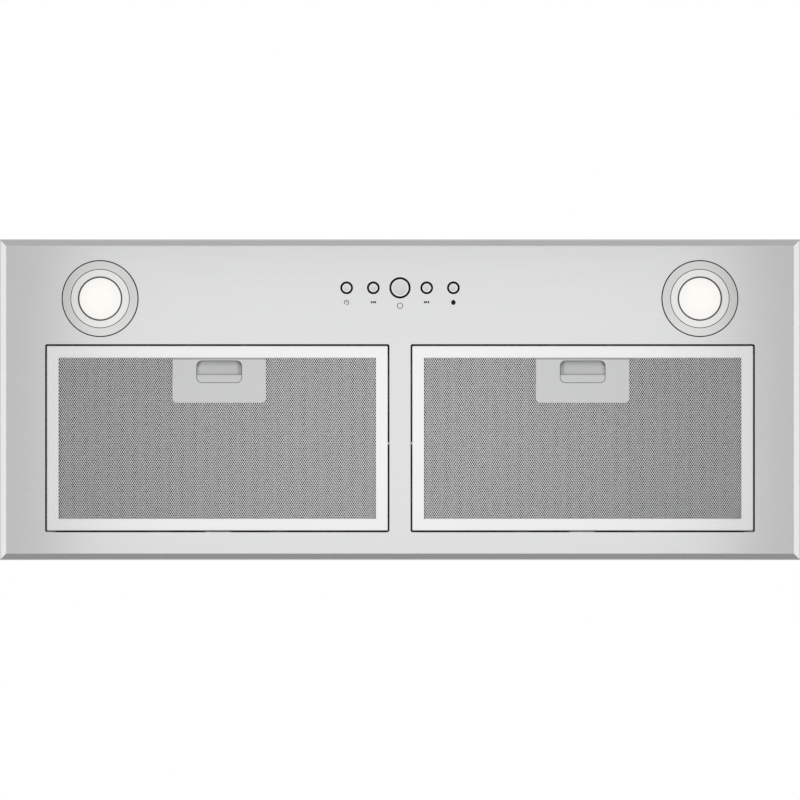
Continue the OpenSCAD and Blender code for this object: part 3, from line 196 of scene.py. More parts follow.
class ShaderTree:
    """The nodes of one material, ending in a Principled shader.

    Attributes:
        material: The material.
        tree: Its node tree.
        place: The Object coordinates.
    """

    def __init__(self, name: str) -> None:
        """Makes a material with an empty tree.

        Args:
            name: The material's name.
        """
        self.material = bpy.data.materials.new(name)
        self.material.use_nodes = True
        self.tree = self.material.node_tree
        self.tree.nodes.clear()
        self.place = self.add("ShaderNodeTexCoord", output="Object")

    def add(self, kind: str, settings: dict | None = None, inputs: dict | None = None,
            output: int | str = 0) -> Value:
        """Adds a node.

        Args:
            kind: The node's type.
            settings: Its properties, set first, and a ramp's stops as (place, colour) pairs.
            inputs: Values or links of its sockets, by name or number.
            output: The name or number of the output that is wanted.

        Returns:
            That output.
        """
        node = self.tree.nodes.new(kind)
        for name, value in (settings or {}).items():
            if name == "stops":
                elements = node.color_ramp.elements
                while len(elements) < len(value):
                    elements.new(1.0)
                for element, (place, colour) in zip(elements, value, strict=True):
                    element.position, element.color = place, (*colour, 1.0)
            else:
                setattr(node, name, value)
        for key, value in (inputs or {}).items():
            if isinstance(value, Value):
                self.tree.links.new(value.socket, node.inputs[key])
            else:
                node.inputs[key].default_value = value
        return Value(self, node.outputs[output])

    def stretched(self, scale: tuple[float, float, float],
                  centre: tuple[float, float, float] = (0.0, 0.0, 0.0)) -> Value:
        """Object coordinates about a centre, multiplied along each axis.

        Args:
            scale: The factor on each axis.
            centre: The point that becomes the origin.

        Returns:
            The new coordinates.
        """
        moved = self.add("ShaderNodeVectorMath", {"operation": "SUBTRACT"},
                         {0: self.place, 1: centre})
        return self.add("ShaderNodeVectorMath", {"operation": "MULTIPLY"}, {0: moved, 1: scale})

    def noise(self, place: Value, scale: float, detail: float = 2.0,
              roughness: float = 0.5) -> Value:
        """A noise from 0 to 1.

        Args:
            place: The coordinates that it is read at.
            scale: Its waves per metre.
            detail: Its octaves.
            roughness: The share that each finer octave has.

        Returns:
            The noise.
        """
        return self.add("ShaderNodeTexNoise", None,
                        {"Vector": place, "Scale": scale, "Detail": detail,
                         "Roughness": roughness})

    def axes(self, place: Value) -> tuple[Value, Value, Value]:
        """The three parts of a vector."""
        first = self.add("ShaderNodeSeparateXYZ", None, {0: place})
        return tuple(Value(self, socket) for socket in first.socket.node.outputs)

    def tint(self, colour: Colour, shade: Value) -> Value:
        """A colour made lighter or darker by a value near 1."""
        return self.add("ShaderNodeVectorMath", {"operation": "SCALE"},
                        {0: colour, "Scale": shade})

    def mix(self, factor: Value, first: "Value | Colour", second: "Value | Colour") -> Value:
        """A blend of two colours.

        Args:
            factor: 0 for the first colour, 1 for the second.
            first: The first colour.
            second: The second colour.

        Returns:
            The blended colour.
        """
        pair = [c if isinstance(c, Value) else (*c, 1.0) for c in (first, second)]
        return self.add("ShaderNodeMix", {"data_type": "RGBA"},
                        {0: factor, 6: pair[0], 7: pair[1]}, output=2)

    def bump(self, height: Value, depth: float, strength: float = 1.0) -> Value:
        """A normal that is tilted by a height.

        Args:
            height: The height, from 0 to 1.
            depth: What a height of 1 measures.
            strength: The share of the tilt that shows.

        Returns:
            The normal.
        """
        return self.add("ShaderNodeBump", None,
                        {"Height": height, "Distance": depth, "Strength": strength})

    def surface(self, **sockets: "Value | float | tuple") -> bpy.types.Material:
        """Ends the tree in a Principled shader.

        Args:
            **sockets: The shader's sockets, with underscores for the spaces in their names.

        Returns:
            The finished material.
        """
        inputs = {name.replace("_", " "): value for name, value in sockets.items()}
        if not isinstance(inputs["Base Color"], Value):
            inputs["Base Color"] = (*inputs["Base Color"], 1.0)
        shader = self.add("ShaderNodeBsdfPrincipled", None, inputs)
        self.add_end(shader)
        return self.material

    def add_end(self, shader: Value) -> None:
        """Links a shader to the material's output."""
        end = self.tree.nodes.new("ShaderNodeOutputMaterial")
        self.tree.links.new(shader.socket, end.inputs["Surface"])


# Finishes


@dataclass(frozen=True)
class Finish:
    """A finish of one material slot of the record.

    Attributes:
        name: The material's name.
        slot: The record's material slot. Not used.
        colour: The base colour.
        roughness: The mean roughness.
    """

    name: str
    slot: str
    colour: Colour
    roughness: float

    def material(self) -> bpy.types.Material:
        """The finish's material, made at its first use."""
        made = bpy.data.materials.get(self.name)
        return made or self.paint(ShaderTree(self.name))

    def paint(self, tree: ShaderTree) -> bpy.types.Material:
        """Builds the material in its tree."""
        raise NotImplementedError


@dataclass(frozen=True)
class BrushedSteel(Finish):
    """Satin stainless steel with a grain along one axis.

    Attributes:
        grain: The axis that the grain runs along.
        contrast: How much the grain's streaks differ in brightness.
        depth: The depth of the scratches.
        stretch: The share of its waves that the grain has along its axis.
        fine: The waves per metre of the scratches.
        broad: The waves per metre of the streaks.
        cloudy: The waves per metre of the patches.
    """

    grain: Axis = Axis.X
    contrast: float = 0.06
    depth: float = 0.004 * MM
    stretch: float = 0.008
    fine: float = 2600.0
    broad: float = 330.0
    cloudy: float = 9.0

    def paint(self, tree: ShaderTree) -> bpy.types.Material:
        """Builds the material in its tree.

        Args:
            tree: The material's empty tree.

        Returns:
            The finished material.
        """
        place = tree.stretched(self.grain.stretch(self.stretch))
        fine = tree.noise(place, self.fine, 3.0, 0.6)
        broad = tree.noise(place, self.broad, 2.0)
        patches = tree.noise(tree.place, self.cloudy, 3.0)
        shade = 1.0 + (fine - 0.5) * self.contrast + (broad - 0.5) * (0.5 * self.contrast)
        shade = shade + (patches - 0.5) * 0.03
        rough = self.roughness + (fine - 0.5) * 0.16 + (patches - 0.5) * 0.05
        return tree.surface(Base_Color=tree.tint(self.colour, shade), Metallic=1.0,
                            Roughness=rough, Normal=tree.bump(fine, self.depth, 0.6))


@dataclass(frozen=True)
class TurnedSteel(Finish):
    """Satin steel with its grain in circles about an upright axis, and a painted reflection that
    makes it lighter and darker round the circle.

    Attributes:
        centre: The axis that the circles lie about, as X and Y.
        contrast: How much the rings differ in brightness.
        sweep: How strongly the colour is painted lighter and darker round the circle, standing in
            for the circular grain's reflection.
        fine: The waves per metre of the rings.
        depth: The depth of the rings.
    """

    centre: tuple[float, float] = (0.0, 0.0)
    contrast: float = 0.05
    sweep: float = 0.05
    fine: float = 2400.0
    depth: float = 0.004 * MM

    def paint(self, tree: ShaderTree) -> bpy.types.Material:
        """Builds the material in its tree.

        Args:
            tree: The material's empty tree.

        Returns:
            The finished material.
        """
        place = tree.stretched((1.0, 1.0, 1.0), (*self.centre, 0.0))
        x, y, z = tree.axes(place)
        radius = (x * x + y * y) ** 0.5
        angle = y.angle_with(x)
        turned = tree.add("ShaderNodeCombineXYZ", None, {0: radius, 1: angle * (2 * MM), 2: z})
        rings = tree.noise(turned, self.fine, 2.0, 0.6)
        # Painted reflection: lighter and darker sectors round the circle, as the circular grain
        # reflects the light.
        reflection_sectors = (angle * 2.0 - math.pi / 2).sine() + angle.sine() * 0.5
        shade = 1.0 + (rings - 0.5) * self.contrast + reflection_sectors * self.sweep
        rough = self.roughness + (rings - 0.5) * 0.14
        return tree.surface(Base_Color=tree.tint(self.colour, shade), Metallic=1.0,
                            Roughness=rough, Normal=tree.bump(rings, self.depth, 0.6))


@dataclass(frozen=True)
class Galvanised(Finish):
    """Zinc-coated sheet with a faint crystal spangle.

    Attributes:
        spangle: The crystals' size.
        contrast: How much neighbouring crystals differ.
        warp: How far the crystals' borders wander on each axis.
        cloudy: The waves per metre of the stains.
        fine: The waves per metre of the uneven coat.
        depth: The depth of the uneven coat.
    """

    spangle: float = 9.0 * MM
    contrast: float = 0.16
    warp: float = 4.0 * MM
    cloudy: float = 14.0
    fine: float = 900.0
    depth: float = 0.02 * MM

    def paint(self, tree: ShaderTree) -> bpy.types.Material:
        """Builds the material in its tree.

        Args:
            tree: The material's empty tree.

        Returns:
            The finished material.
        """
        wander = tree.noise(tree.place, 220.0, 2.0)
        shift = tree.add("ShaderNodeVectorMath", {"operation": "ADD"},
                         {0: tree.place, 1: tree.tint((self.warp,) * 3, wander)})
        cells = tree.add("ShaderNodeTexVoronoi", {"feature": "F1"},
                         {"Vector": shift, "Scale": 1.0 / self.spangle}, output="Color")
        shade, _, gloss = tree.axes(cells)
        stains = tree.noise(tree.place, self.cloudy, 4.0, 0.6)
        tone = 1.0 + (shade - 0.5) * self.contrast + (stains - 0.5) * 0.12
        rough = self.roughness + (gloss - 0.5) * 0.16 + (stains - 0.5) * 0.12
        coat = tree.noise(tree.place, self.fine, 2.0)
        return tree.surface(Base_Color=tree.tint(self.colour, tone), Metallic=0.92,
                            Roughness=rough, Normal=tree.bump(coat, self.depth, 0.35))


@dataclass(frozen=True)
class RolledMetal(Finish):
    """Plain mill-finished metal, such as aluminium sheet, turned shafts or spring wire.

    Attributes:
        grain: The axis that the rolling marks run along.
        dulling: How far the darker patches go.
        stretch: The share of its waves that the grain has along its axis.
        fine: The waves per metre of the rolling marks.
        cloudy: The waves per metre of the patches.
        depth: The depth of the rolling marks.
    """

    grain: Axis = Axis.X
    dulling: float = 0.14
    stretch: float = 0.05
    fine: float = 1500.0
    cloudy: float = 40.0
    depth: float = 0.01 * MM

    def paint(self, tree: ShaderTree) -> bpy.types.Material:
        """Builds the material in its tree.

        Args:
            tree: The material's empty tree.

        Returns:
            The finished material.
        """
        marks = tree.noise(tree.stretched(self.grain.stretch(self.stretch)), self.fine, 3.0, 0.6)
        film = tree.noise(tree.place, self.cloudy, 4.0, 0.6)
        tone = 1.0 + (marks - 0.5) * 0.1 + (film - 0.5) * self.dulling
        rough = self.roughness + (marks - 0.5) * 0.12 + (film - 0.5) * 0.1
        return tree.surface(Base_Color=tree.tint(self.colour, tone), Metallic=0.95,
                            Roughness=rough, Normal=tree.bump(marks, self.depth, 0.5))


@dataclass(frozen=True)
class Moulded(Finish):
    """Moulded plastic, rubber or paint with a fine even grain.

    Attributes:
        pebble: The width of one pebble of the grain.
        relief: The grain's depth.
        coat: The weight of a clear gloss over it.
        sheen: The strength of its reflections, 0.5 for common plastics.
        metal: How metallic it looks, for metallic paints.
        cloudy: The waves per metre of the paler and darker parts.
    """

    pebble: float = 0.35 * MM
    relief: float = 0.012 * MM
    coat: float = 0.0
    sheen: float = 0.5
    metal: float = 0.0
    cloudy: float = 25.0

    def paint(self, tree: ShaderTree) -> bpy.types.Material:
        """Builds the material in its tree.

        Args:
            tree: The material's empty tree.

        Returns:
            The finished material.
        """
        grain = tree.noise(tree.place, 1.0 / self.pebble, 3.0, 0.6)
        clouds = tree.noise(tree.place, self.cloudy, 3.0)
        tone = 1.0 + (grain - 0.5) * 0.08 + (clouds - 0.5) * 0.1
        rough = self.roughness + (grain - 0.5) * 0.1 + (clouds - 0.5) * 0.08
        return tree.surface(Base_Color=tree.tint(self.colour, tone), Roughness=rough,
                            Coat_Weight=self.coat, Coat_Roughness=0.25,
                            Specular_IOR_Level=self.sheen, Metallic=self.metal,
                            Normal=tree.bump(grain, self.relief, 0.5))


@dataclass(frozen=True)
class FrostedLens(Finish):
    """A frosted lamp lens that glows, most in the middle.

    Attributes:
        centre: The lamp's middle, as X and Y.
        radius: The lens's radius.
        glow: The strength of the light that it gives off.
        warm: The light's colour in the middle.
        pale: The light's colour at the edge.
        dark: The colour of the lens past its radius, where it gives off no light, painted dark as
            the shade in the gap round the lens.
        fine: The waves per metre of the frosting.
        depth: The depth of the frosting.
    """

    centre: tuple[float, float] = (0.0, 0.0)
    radius: float = 18.6 * MM
    glow: float = 0.71
    warm: Colour = (1.0, 0.965, 0.9)
    pale: Colour = (0.9, 0.89, 0.85)
    # Painted shade: the lens past its radius is dark, as the shade in the gap between the lens and
    # the trim.
    dark: Colour = (0.12, 0.115, 0.1)
    fine: float = 1900.0
    depth: float = 0.01 * MM

    def paint(self, tree: ShaderTree) -> bpy.types.Material:
        """Builds the material in its tree.

        Args:
            tree: The material's empty tree.

        Returns:
            The finished material.
        """
        place = tree.stretched((1.0, 1.0, 1.0), (*self.centre, 0.0))
        x, y, _ = tree.axes(place)
        radius = (x * x + y * y) ** 0.5
        edge = radius.between(0.5 * self.radius, self.radius)
        outside = radius.between(self.radius - NEAR, self.radius + NEAR)
        light = tree.mix(edge, self.warm, self.pale)
        light = tree.mix(outside, light, (0.0, 0.0, 0.0))
        # Past its radius the lens takes the painted shade.
        body = tree.mix(outside, self.colour, self.dark)
        frost = tree.noise(tree.place, self.fine, 2.0)
        return tree.surface(Base_Color=body, Roughness=self.roughness + frost * 0.1,
                            Emission_Color=light, Emission_Strength=self.glow,
                            Normal=tree.bump(frost, self.depth, 0.4))


@dataclass(frozen=True)
class CircuitBoard(Finish):
    """A lacquered board with faint copper tracks under the lacquer.

    Attributes:
        track: The pitch of the tracks.
        fine: The waves per metre of the lacquer's grain.
        depth: The height of the tracks.
        gain: How much lighter the tracks are than the board.
    """

    track: float = 1.6 * MM
    fine: float = 800.0
    depth: float = 0.03 * MM
    gain: float = 1.8

    def paint(self, tree: ShaderTree) -> bpy.types.Material:
        """Builds the material in its tree.

        Args:
            tree: The material's empty tree.

        Returns:
            The finished material.
        """
        blocks = tree.add("ShaderNodeTexVoronoi",
                          {"feature": "DISTANCE_TO_EDGE", "voronoi_dimensions": "2D"},
                          {"Vector": tree.place, "Scale": 0.2 / self.track})
        tracks = blocks.between(0.02, 0.05)
        grain = tree.noise(tree.place, self.fine, 2.0)
        light = tuple(min(1.0, self.gain * part) for part in self.colour)
        return tree.surface(Base_Color=tree.mix(tracks, light, self.colour),
                            Roughness=self.roughness + (grain - 0.5) * 0.1, Coat_Weight=0.4,
                            Normal=tree.bump(tracks, self.depth, 0.5))


PANEL_STEEL = BrushedSteel("brushed_panel", "panel_steel", (0.78, 0.785, 0.785), 0.24)
# Painted highlight: a paler steel on the panel's rounded folds and on the rounding round the
# filter openings.
FOLD_HIGHLIGHT = BrushedSteel("fold_steel", "panel_steel", (0.99, 0.99, 0.985), 0.32)
# Painted shade: a dark steel on the upper strip of the rim's outer rounding.
RIM_SHADE = BrushedSteel("rim_steel", "panel_steel", (0.35, 0.355, 0.355), 0.4)
FRAME_STEEL = BrushedSteel("brushed_frame", "frame_steel", (0.955, 0.96, 0.955), 0.32)
# Painted highlight: a near-white steel on the frame's bead and the handle plate's edges.
EDGE_HIGHLIGHT = BrushedSteel("bright_edge", "frame_steel", (0.99, 0.99, 0.985), 0.22)
HANDLE_STEEL = BrushedSteel("handle_steel", "frame_steel", (0.68, 0.685, 0.685), 0.36)
# Painted shade: a dark steel on the rounded edge of the finger slot.
SLOT_SHADE = BrushedSteel("slot_edge", "frame_steel", (0.12, 0.125, 0.125), 0.5)
# Painted shade: a darker steel on the strip that tucks under the frame's face.
TUCK_SHADE = BrushedSteel("tuck_steel", "frame_steel", (0.46, 0.465, 0.465), 0.45)
# Painted shade: the hook tabs are near black, as the shade in the gap round the filter.
TAB_SHADE = BrushedSteel("tab_steel", "frame_steel", (0.07, 0.072, 0.073), 0.5)
# Painted shade: the latch tongues are near black, as the shade in the gap in front of the filter.
TONGUE_SHADE = RolledMetal("tongue_zinc", "zinc", (0.09, 0.092, 0.094), 0.5)
LATCH_ZINC = RolledMetal("latch_zinc", "zinc", (0.61, 0.615, 0.62), 0.4)
LIP_STEEL = RolledMetal("lip_steel", "zinc", (0.7, 0.705, 0.71), 0.38)
NET_METAL = RolledMetal("net_metal", "mesh", (0.99, 0.995, 0.995), 0.32, dulling=0.04)
# Painted shade: the aluminium core is near black, as the shade seen through the net's holes.
CORE_SHADE = RolledMetal("core_metal", "aluminium", (0.012, 0.0125, 0.013), 0.6)
COLLAR_BLACK = Moulded("collar_black", "black_plastic", (0.003, 0.003, 0.003), 0.5,
                       sheen=0.05)
CAP_GREY = Moulded("cap_grey", "button_plastic", (0.83, 0.835, 0.835), 0.4,
                   pebble=0.2 * MM, metal=0.9)
# Painted highlight: a white copy of the cap's finish on its rim.
CAP_HIGHLIGHT = Moulded("cap_rim", "button_plastic", (1.0, 1.0, 1.0), 0.3,
                  pebble=0.2 * MM, metal=0.9)
ICON_INK = Moulded("icon_ink", "black_plastic", (0.012, 0.012, 0.013), 0.6,
                   pebble=0.1 * MM, sheen=0.2)
ICON_GREY = Moulded("icon_grey", "black_plastic", (0.07, 0.072, 0.075), 0.6,
                    pebble=0.1 * MM, sheen=0.2)
HOUSING_ZINC = Galvanised("housing_zinc", "zinc", (0.56, 0.575, 0.585), 0.46)
NUT_BLACK = RolledMetal("nut_black", "bright_zinc", (0.03, 0.03, 0.031), 0.5)
SCREW_ZINC = RolledMetal("screw_zinc", "bright_zinc", (0.72, 0.72, 0.7), 0.3)
ALUMINIUM = RolledMetal("rolled_aluminium", "aluminium", (0.72, 0.73, 0.74), 0.38)
CAST_GREY = Moulded("cast_grey", "aluminium", (0.3, 0.31, 0.32), 0.5, pebble=0.6 * MM)
WHEEL_GREY = Moulded("wheel_grey", "wheel_plastic", (0.05, 0.052, 0.056), 0.48)
MOTOR_GREY = Moulded("motor_grey", "motor_paint", (0.06, 0.063, 0.066), 0.4, coat=0.3)
SHAFT_STEEL = RolledMetal("ground_shaft", "shaft_steel", (0.62, 0.62, 0.62), 0.25,
                          dulling=0.05)
SPRING_STEEL = RolledMetal("spring_wire", "spring_steel", (0.5, 0.5, 0.51), 0.3)
CASE_WHITE = Moulded("case_white", "white_plastic", (0.74, 0.74, 0.72), 0.45)
RUBBER = Moulded("rubber_black", "rubber", (0.018, 0.018, 0.018), 0.75)
BLACK_PLASTIC = Moulded("plastic_black", "black_plastic", (0.02, 0.02, 0.022), 0.5)
BOARD_GREEN = CircuitBoard("board_green", "board", (0.02, 0.13, 0.055), 0.35)
LAMP_BOARD = CircuitBoard("lamp_board", "board", (0.78, 0.78, 0.74), 0.35)
LEAD_BLACK = Moulded("lead_black", "lead", (0.02, 0.02, 0.021), 0.5, pebble=0.8 * MM)


# Modelling


class Bench:
    """Operators for the work on one piece at a time. Everything else stays deselected."""

    @staticmethod
    def clear() -> None:
        """Goes back to object mode with nothing selected."""
        if bpy.context.view_layer.objects.active and bpy.context.mode != "OBJECT":
            bpy.ops.object.mode_set(mode="OBJECT")
        bpy.ops.object.select_all(action="DESELECT")

    @staticmethod
    def take(piece: Object) -> None:
        """Selects one piece alone and makes it the active one.

        Args:
            piece: The piece.
        """
        Bench.clear()
        piece.select_set(True)
        bpy.context.view_layer.objects.active = piece

    @staticmethod
    def settle(name: str) -> Object:
        """Names the active object and puts its place and size into its mesh.

        Args:
            name: The piece's name.

        Returns:
            The object.
        """
        piece = bpy.context.view_layer.objects.active
        bpy.ops.object.transform_apply(location=True, rotation=True, scale=True)
        piece.name = piece.data.name = name
        return piece

    @staticmethod
    def block(name: str, low: Iterable[float], high: Iterable[float]) -> Object:
        """A box between two corners.

        Args:
            name: The piece's name.
            low: Its lowest corner.
            high: Its highest corner.

        Returns:
            The box.
        """
        low, high = Vector(low), Vector(high)
        Bench.clear()
        bpy.ops.mesh.primitive_cube_add(size=1.0, location=(low + high) / 2, scale=high - low)
        return Bench.settle(name)

    @staticmethod
    def rod(name: str, centre: Iterable[float], radius: float, height: float,
            sides: int = 48) -> Object:
        """An upright cylinder about its middle.

        Args:
            name: The piece's name.
            centre: Its middle.
            radius: Its radius.
            height: Its height.
            sides: The sides of its circle.

        Returns:
            The cylinder.
        """
        Bench.clear()
        bpy.ops.mesh.primitive_cylinder_add(vertices=sides, radius=radius, depth=height,
                                            location=Vector(centre))
        return Bench.settle(name)

    @staticmethod
    def edit(piece: Object, kind: Pick, chosen: Callable[..., bool]) -> None:
        """Opens a piece in edit mode with some of its elements selected.

        Args:
            piece: The piece.
            kind: Faces or edges.
            chosen: For faces, says of a middle and a normal whether the face is wanted, and
                for edges, of two ends.
        """
        Bench.take(piece)
        bpy.ops.object.mode_set(mode="EDIT")
        bpy.ops.mesh.select_mode(type=kind.value)
        bpy.ops.mesh.select_all(action="DESELECT")
        bpy.ops.object.mode_set(mode="OBJECT")
        mesh = piece.data
        if kind is Pick.FACE:
            for face in mesh.polygons:
                face.select = chosen(face.center, face.normal)
        else:
            for edge in mesh.edges:
                edge.select = chosen(*(mesh.vertices[i].co for i in edge.vertices))
        bpy.ops.object.mode_set(mode="EDIT")

    @staticmethod
    def done() -> None:
        """Leaves edit mode."""
        bpy.ops.object.mode_set(mode="OBJECT")

    @staticmethod
    def modify(piece: Object, kind: str, **settings: object) -> None:
        """Adds a modifier and applies it.

        Args:
            piece: The piece.
            kind: The modifier's type.
            **settings: Its properties.
        """
        Bench.take(piece)
        modifier = piece.modifiers.new(kind.lower(), kind)
        for name, value in settings.items():
            setattr(modifier, name, value)
        bpy.ops.object.modifier_apply(modifier=modifier.name)

    @staticmethod
    def cut(piece: Object, cutter: Object) -> None:
        """Cuts a cutter's shape out of a piece, and removes the cutter."""
        Bench.modify(piece, "BOOLEAN", operation="DIFFERENCE", solver="EXACT", object=cutter)
        bpy.data.objects.remove(cutter)

    @staticmethod
    def round_edges(piece: Object, width: float, segments: int = 2, angle: float = 50.0,
                    material: int = -1, profile: float = 0.5) -> None:
        """Rounds the edges of a piece that are sharper than an angle.

        Args:
            piece: The piece.
            width: The width of the rounding.
            segments: Its steps.
            angle: The angle in degrees.
            material: The material slot of the rounded edges, or -1 for their neighbours'.
            profile: The rounding's shape, from 0.5 for an arc towards 1 for a square edge.
        """
        Bench.modify(piece, "BEVEL", width=width, segments=segments, limit_method="ANGLE",
                     angle_limit=math.radians(angle), material=material, profile=profile)

    @staticmethod
    def join(name: str, pieces: list[Object]) -> Object:
        """Joins pieces into one.

        Args:
            name: The joined piece's name.
            pieces: The pieces.

        Returns:
            The joined piece.
        """
        Bench.take(pieces[0])
        for piece in pieces[1:]:
            piece.select_set(True)
        bpy.ops.object.join()
        return Bench.settle(name)

    @staticmethod
    def smooth(piece: Object, angle: float = 35.0) -> None:
        """Shades a piece smooth, with its broad faces kept flat.

        Args:
            piece: The piece.
            angle: The angle in degrees past which an edge stays sharp.
        """
        Bench.take(piece)
        bpy.ops.object.shade_smooth_by_angle(angle=math.radians(angle))
        Bench.modify(piece, "WEIGHTED_NORMAL", weight=100, keep_sharp=True)

    @staticmethod
    def rounded_block(name: str, low: Iterable[float], high: Iterable[float], radius: float,
                      keep: Callable[[Vector], bool] = lambda place: True) -> Object:
        """A box with round upright corners.

        Args:
            name: The piece's name.
            low: Its lowest corner.
            high: Its highest corner.
            radius: The corners' radius.
            keep: Says of an upright edge's lower end whether that corner is rounded.

        Returns:
            The box.
        """
        piece = Bench.block(name, low, high)

        def is_corner(a: Vector, b: Vector) -> bool:
            """Whether an edge is an upright one that keep wants rounded."""
            return abs(a.z - b.z) > abs(a.x - b.x) + abs(a.y - b.y) and keep(a)

        Bench.edit(piece, Pick.EDGE, is_corner)
        bpy.ops.mesh.bevel(offset=radius, segments=8)
        Bench.done()
        return piece

    @staticmethod
    def lathe(name: str, centre: Iterable[float], profile: list[tuple[float, float]],
              steps: int = 96) -> Object:
        """A profile turned about an upright axis.

        Args:
            name: The piece's name.
            centre: The axis, at the height that the profile's heights start from.
            profile: Points of radius and height, in order. It is closed, unless both its
                ends lie on the axis.
            steps: The steps of the turn.

        Returns:
            The turned piece.
        """
        centre = Vector(centre)
        points = [centre + Vector((r, 0.0, z)) for r, z in profile]
        if profile[-1][0] > 0.0 or profile[0][0] > 0.0:
            points.append(points[0])
        Bench.clear()
        bpy.ops.mesh.primitive_plane_add(size=MM, location=points[0])
        piece = Bench.settle(name)
        bpy.ops.object.mode_set(mode="EDIT")
        bpy.ops.mesh.select_mode(type="VERT")
        bpy.ops.mesh.select_all(action="SELECT")
        bpy.ops.mesh.merge(type="CENTER")
        for a, b in zip(points, points[1:]):
            bpy.ops.mesh.extrude_region_move(TRANSFORM_OT_translate={"value": b - a})
        bpy.ops.mesh.select_all(action="SELECT")
        bpy.ops.mesh.spin(steps=steps, angle=2 * math.pi, center=centre, axis=(0.0, 0.0, 1.0))
        bpy.ops.mesh.select_all(action="SELECT")
        bpy.ops.mesh.remove_doubles(threshold=WELD)
        bpy.ops.mesh.normals_make_consistent(inside=False)
        Bench.done()
        return piece

    @staticmethod
    def softened(node: str, name: str, width: float, angle: float = 40.0) -> Object:
        """A copy of a CAD node with its edges rounded.

        Args:
            node: The node's name.
            name: The copy's name.
            width: The width of the rounding.
            angle: The least angle in degrees of an edge that is rounded.

        Returns:
            The copy.
        """
        Bench.clear()
        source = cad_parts[node]
        copy = bpy.data.objects.new(name, source.data.copy())
        copy.data.name = name
        copy.data.materials.clear()
        bpy.context.scene.collection.objects.link(copy)
        Bench.take(copy)
        bpy.ops.mesh.customdata_custom_splitnormals_clear()
        bpy.ops.object.mode_set(mode="EDIT")
        bpy.ops.mesh.select_all(action="SELECT")
        bpy.ops.mesh.remove_doubles(threshold=WELD)
        bpy.ops.mesh.dissolve_limited(angle_limit=math.radians(1.0))
        Bench.done()
        Bench.round_edges(copy, width, 2, angle)
        Bench.smooth(copy)
        return copy


def dress(piece: Object, finish: Finish, *more: Finish) -> Object:
    """Gives a piece its finishes, the first on all faces that name no other.

    Args:
        piece: The piece.
        finish: The finish of its first material slot.
        *more: The finishes of its further slots.

    Returns:
        The piece.
    """
    piece.data.materials.clear()
    for each in (finish, *more):
        piece.data.materials.append(each.material())
    return piece


def seat(piece: Object, body: str, finish: Finish, *nodes: str) -> Object:
    """Rides a finished piece on its body and hides the nodes that it replaces.

    Args:
        piece: The piece.
        body: The body that it moves with.
        finish: The piece's finish. Not used.
        *nodes: The nodes that it replaces.

    Returns:
        The piece.
    """
    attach(piece, body)
    if nodes:
        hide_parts(*nodes)
    LOG.info("%s: %d faces on %s", piece.name, len(piece.data.polygons), body)
    return piece


def wear(piece: Object, slot: int) -> None:
    """Gives all faces of a piece one of its finishes, by its place in their order."""
    for face in piece.data.polygons:
        face.material_index = slot


def finish_nodes(finish: Finish, *nodes: str) -> None:
    """Gives CAD nodes that are shown as they are a finish of this scene.

    Args:
        finish: The finish.
        *nodes: The nodes' names.
    """
    for node in nodes:
        dress(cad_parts[node], finish)
        LOG.info("%s keeps its shape, in %s", node, finish.name)


def middle(node: str) -> tuple[float, float]:
    """The middle of a CAD node in X and Y."""
    low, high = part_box(node)
    return (low.x + high.x) / 2, (low.y + high.y) / 2


def islands(node: Object, reach: float = 12.0 * MM) -> list[Vector]:
    """The middles of the separate solids of a node.

    Args:
        node: The node.
        reach: A distance that is longer than a solid and shorter than their spacing.

    Returns:
        One middle for each solid, in order of place.
    """
    groups: list[list[Vector]] = []
    for vertex in node.data.vertices:
        for group in groups:
            if (group[0] - vertex.co).length < reach:
                group.append(vertex.co)
                break
        else:
            groups.append([vertex.co])
    middles = []
    for group in groups:
        low = Vector(min(p[i] for p in group) for i in range(3))
        high = Vector(max(p[i] for p in group) for i in range(3))
        middles.append((low + high) / 2)
    return sorted(middles, key=lambda p: (round(p.y, 4), round(p.x, 4)))


# The object's sub-assemblies


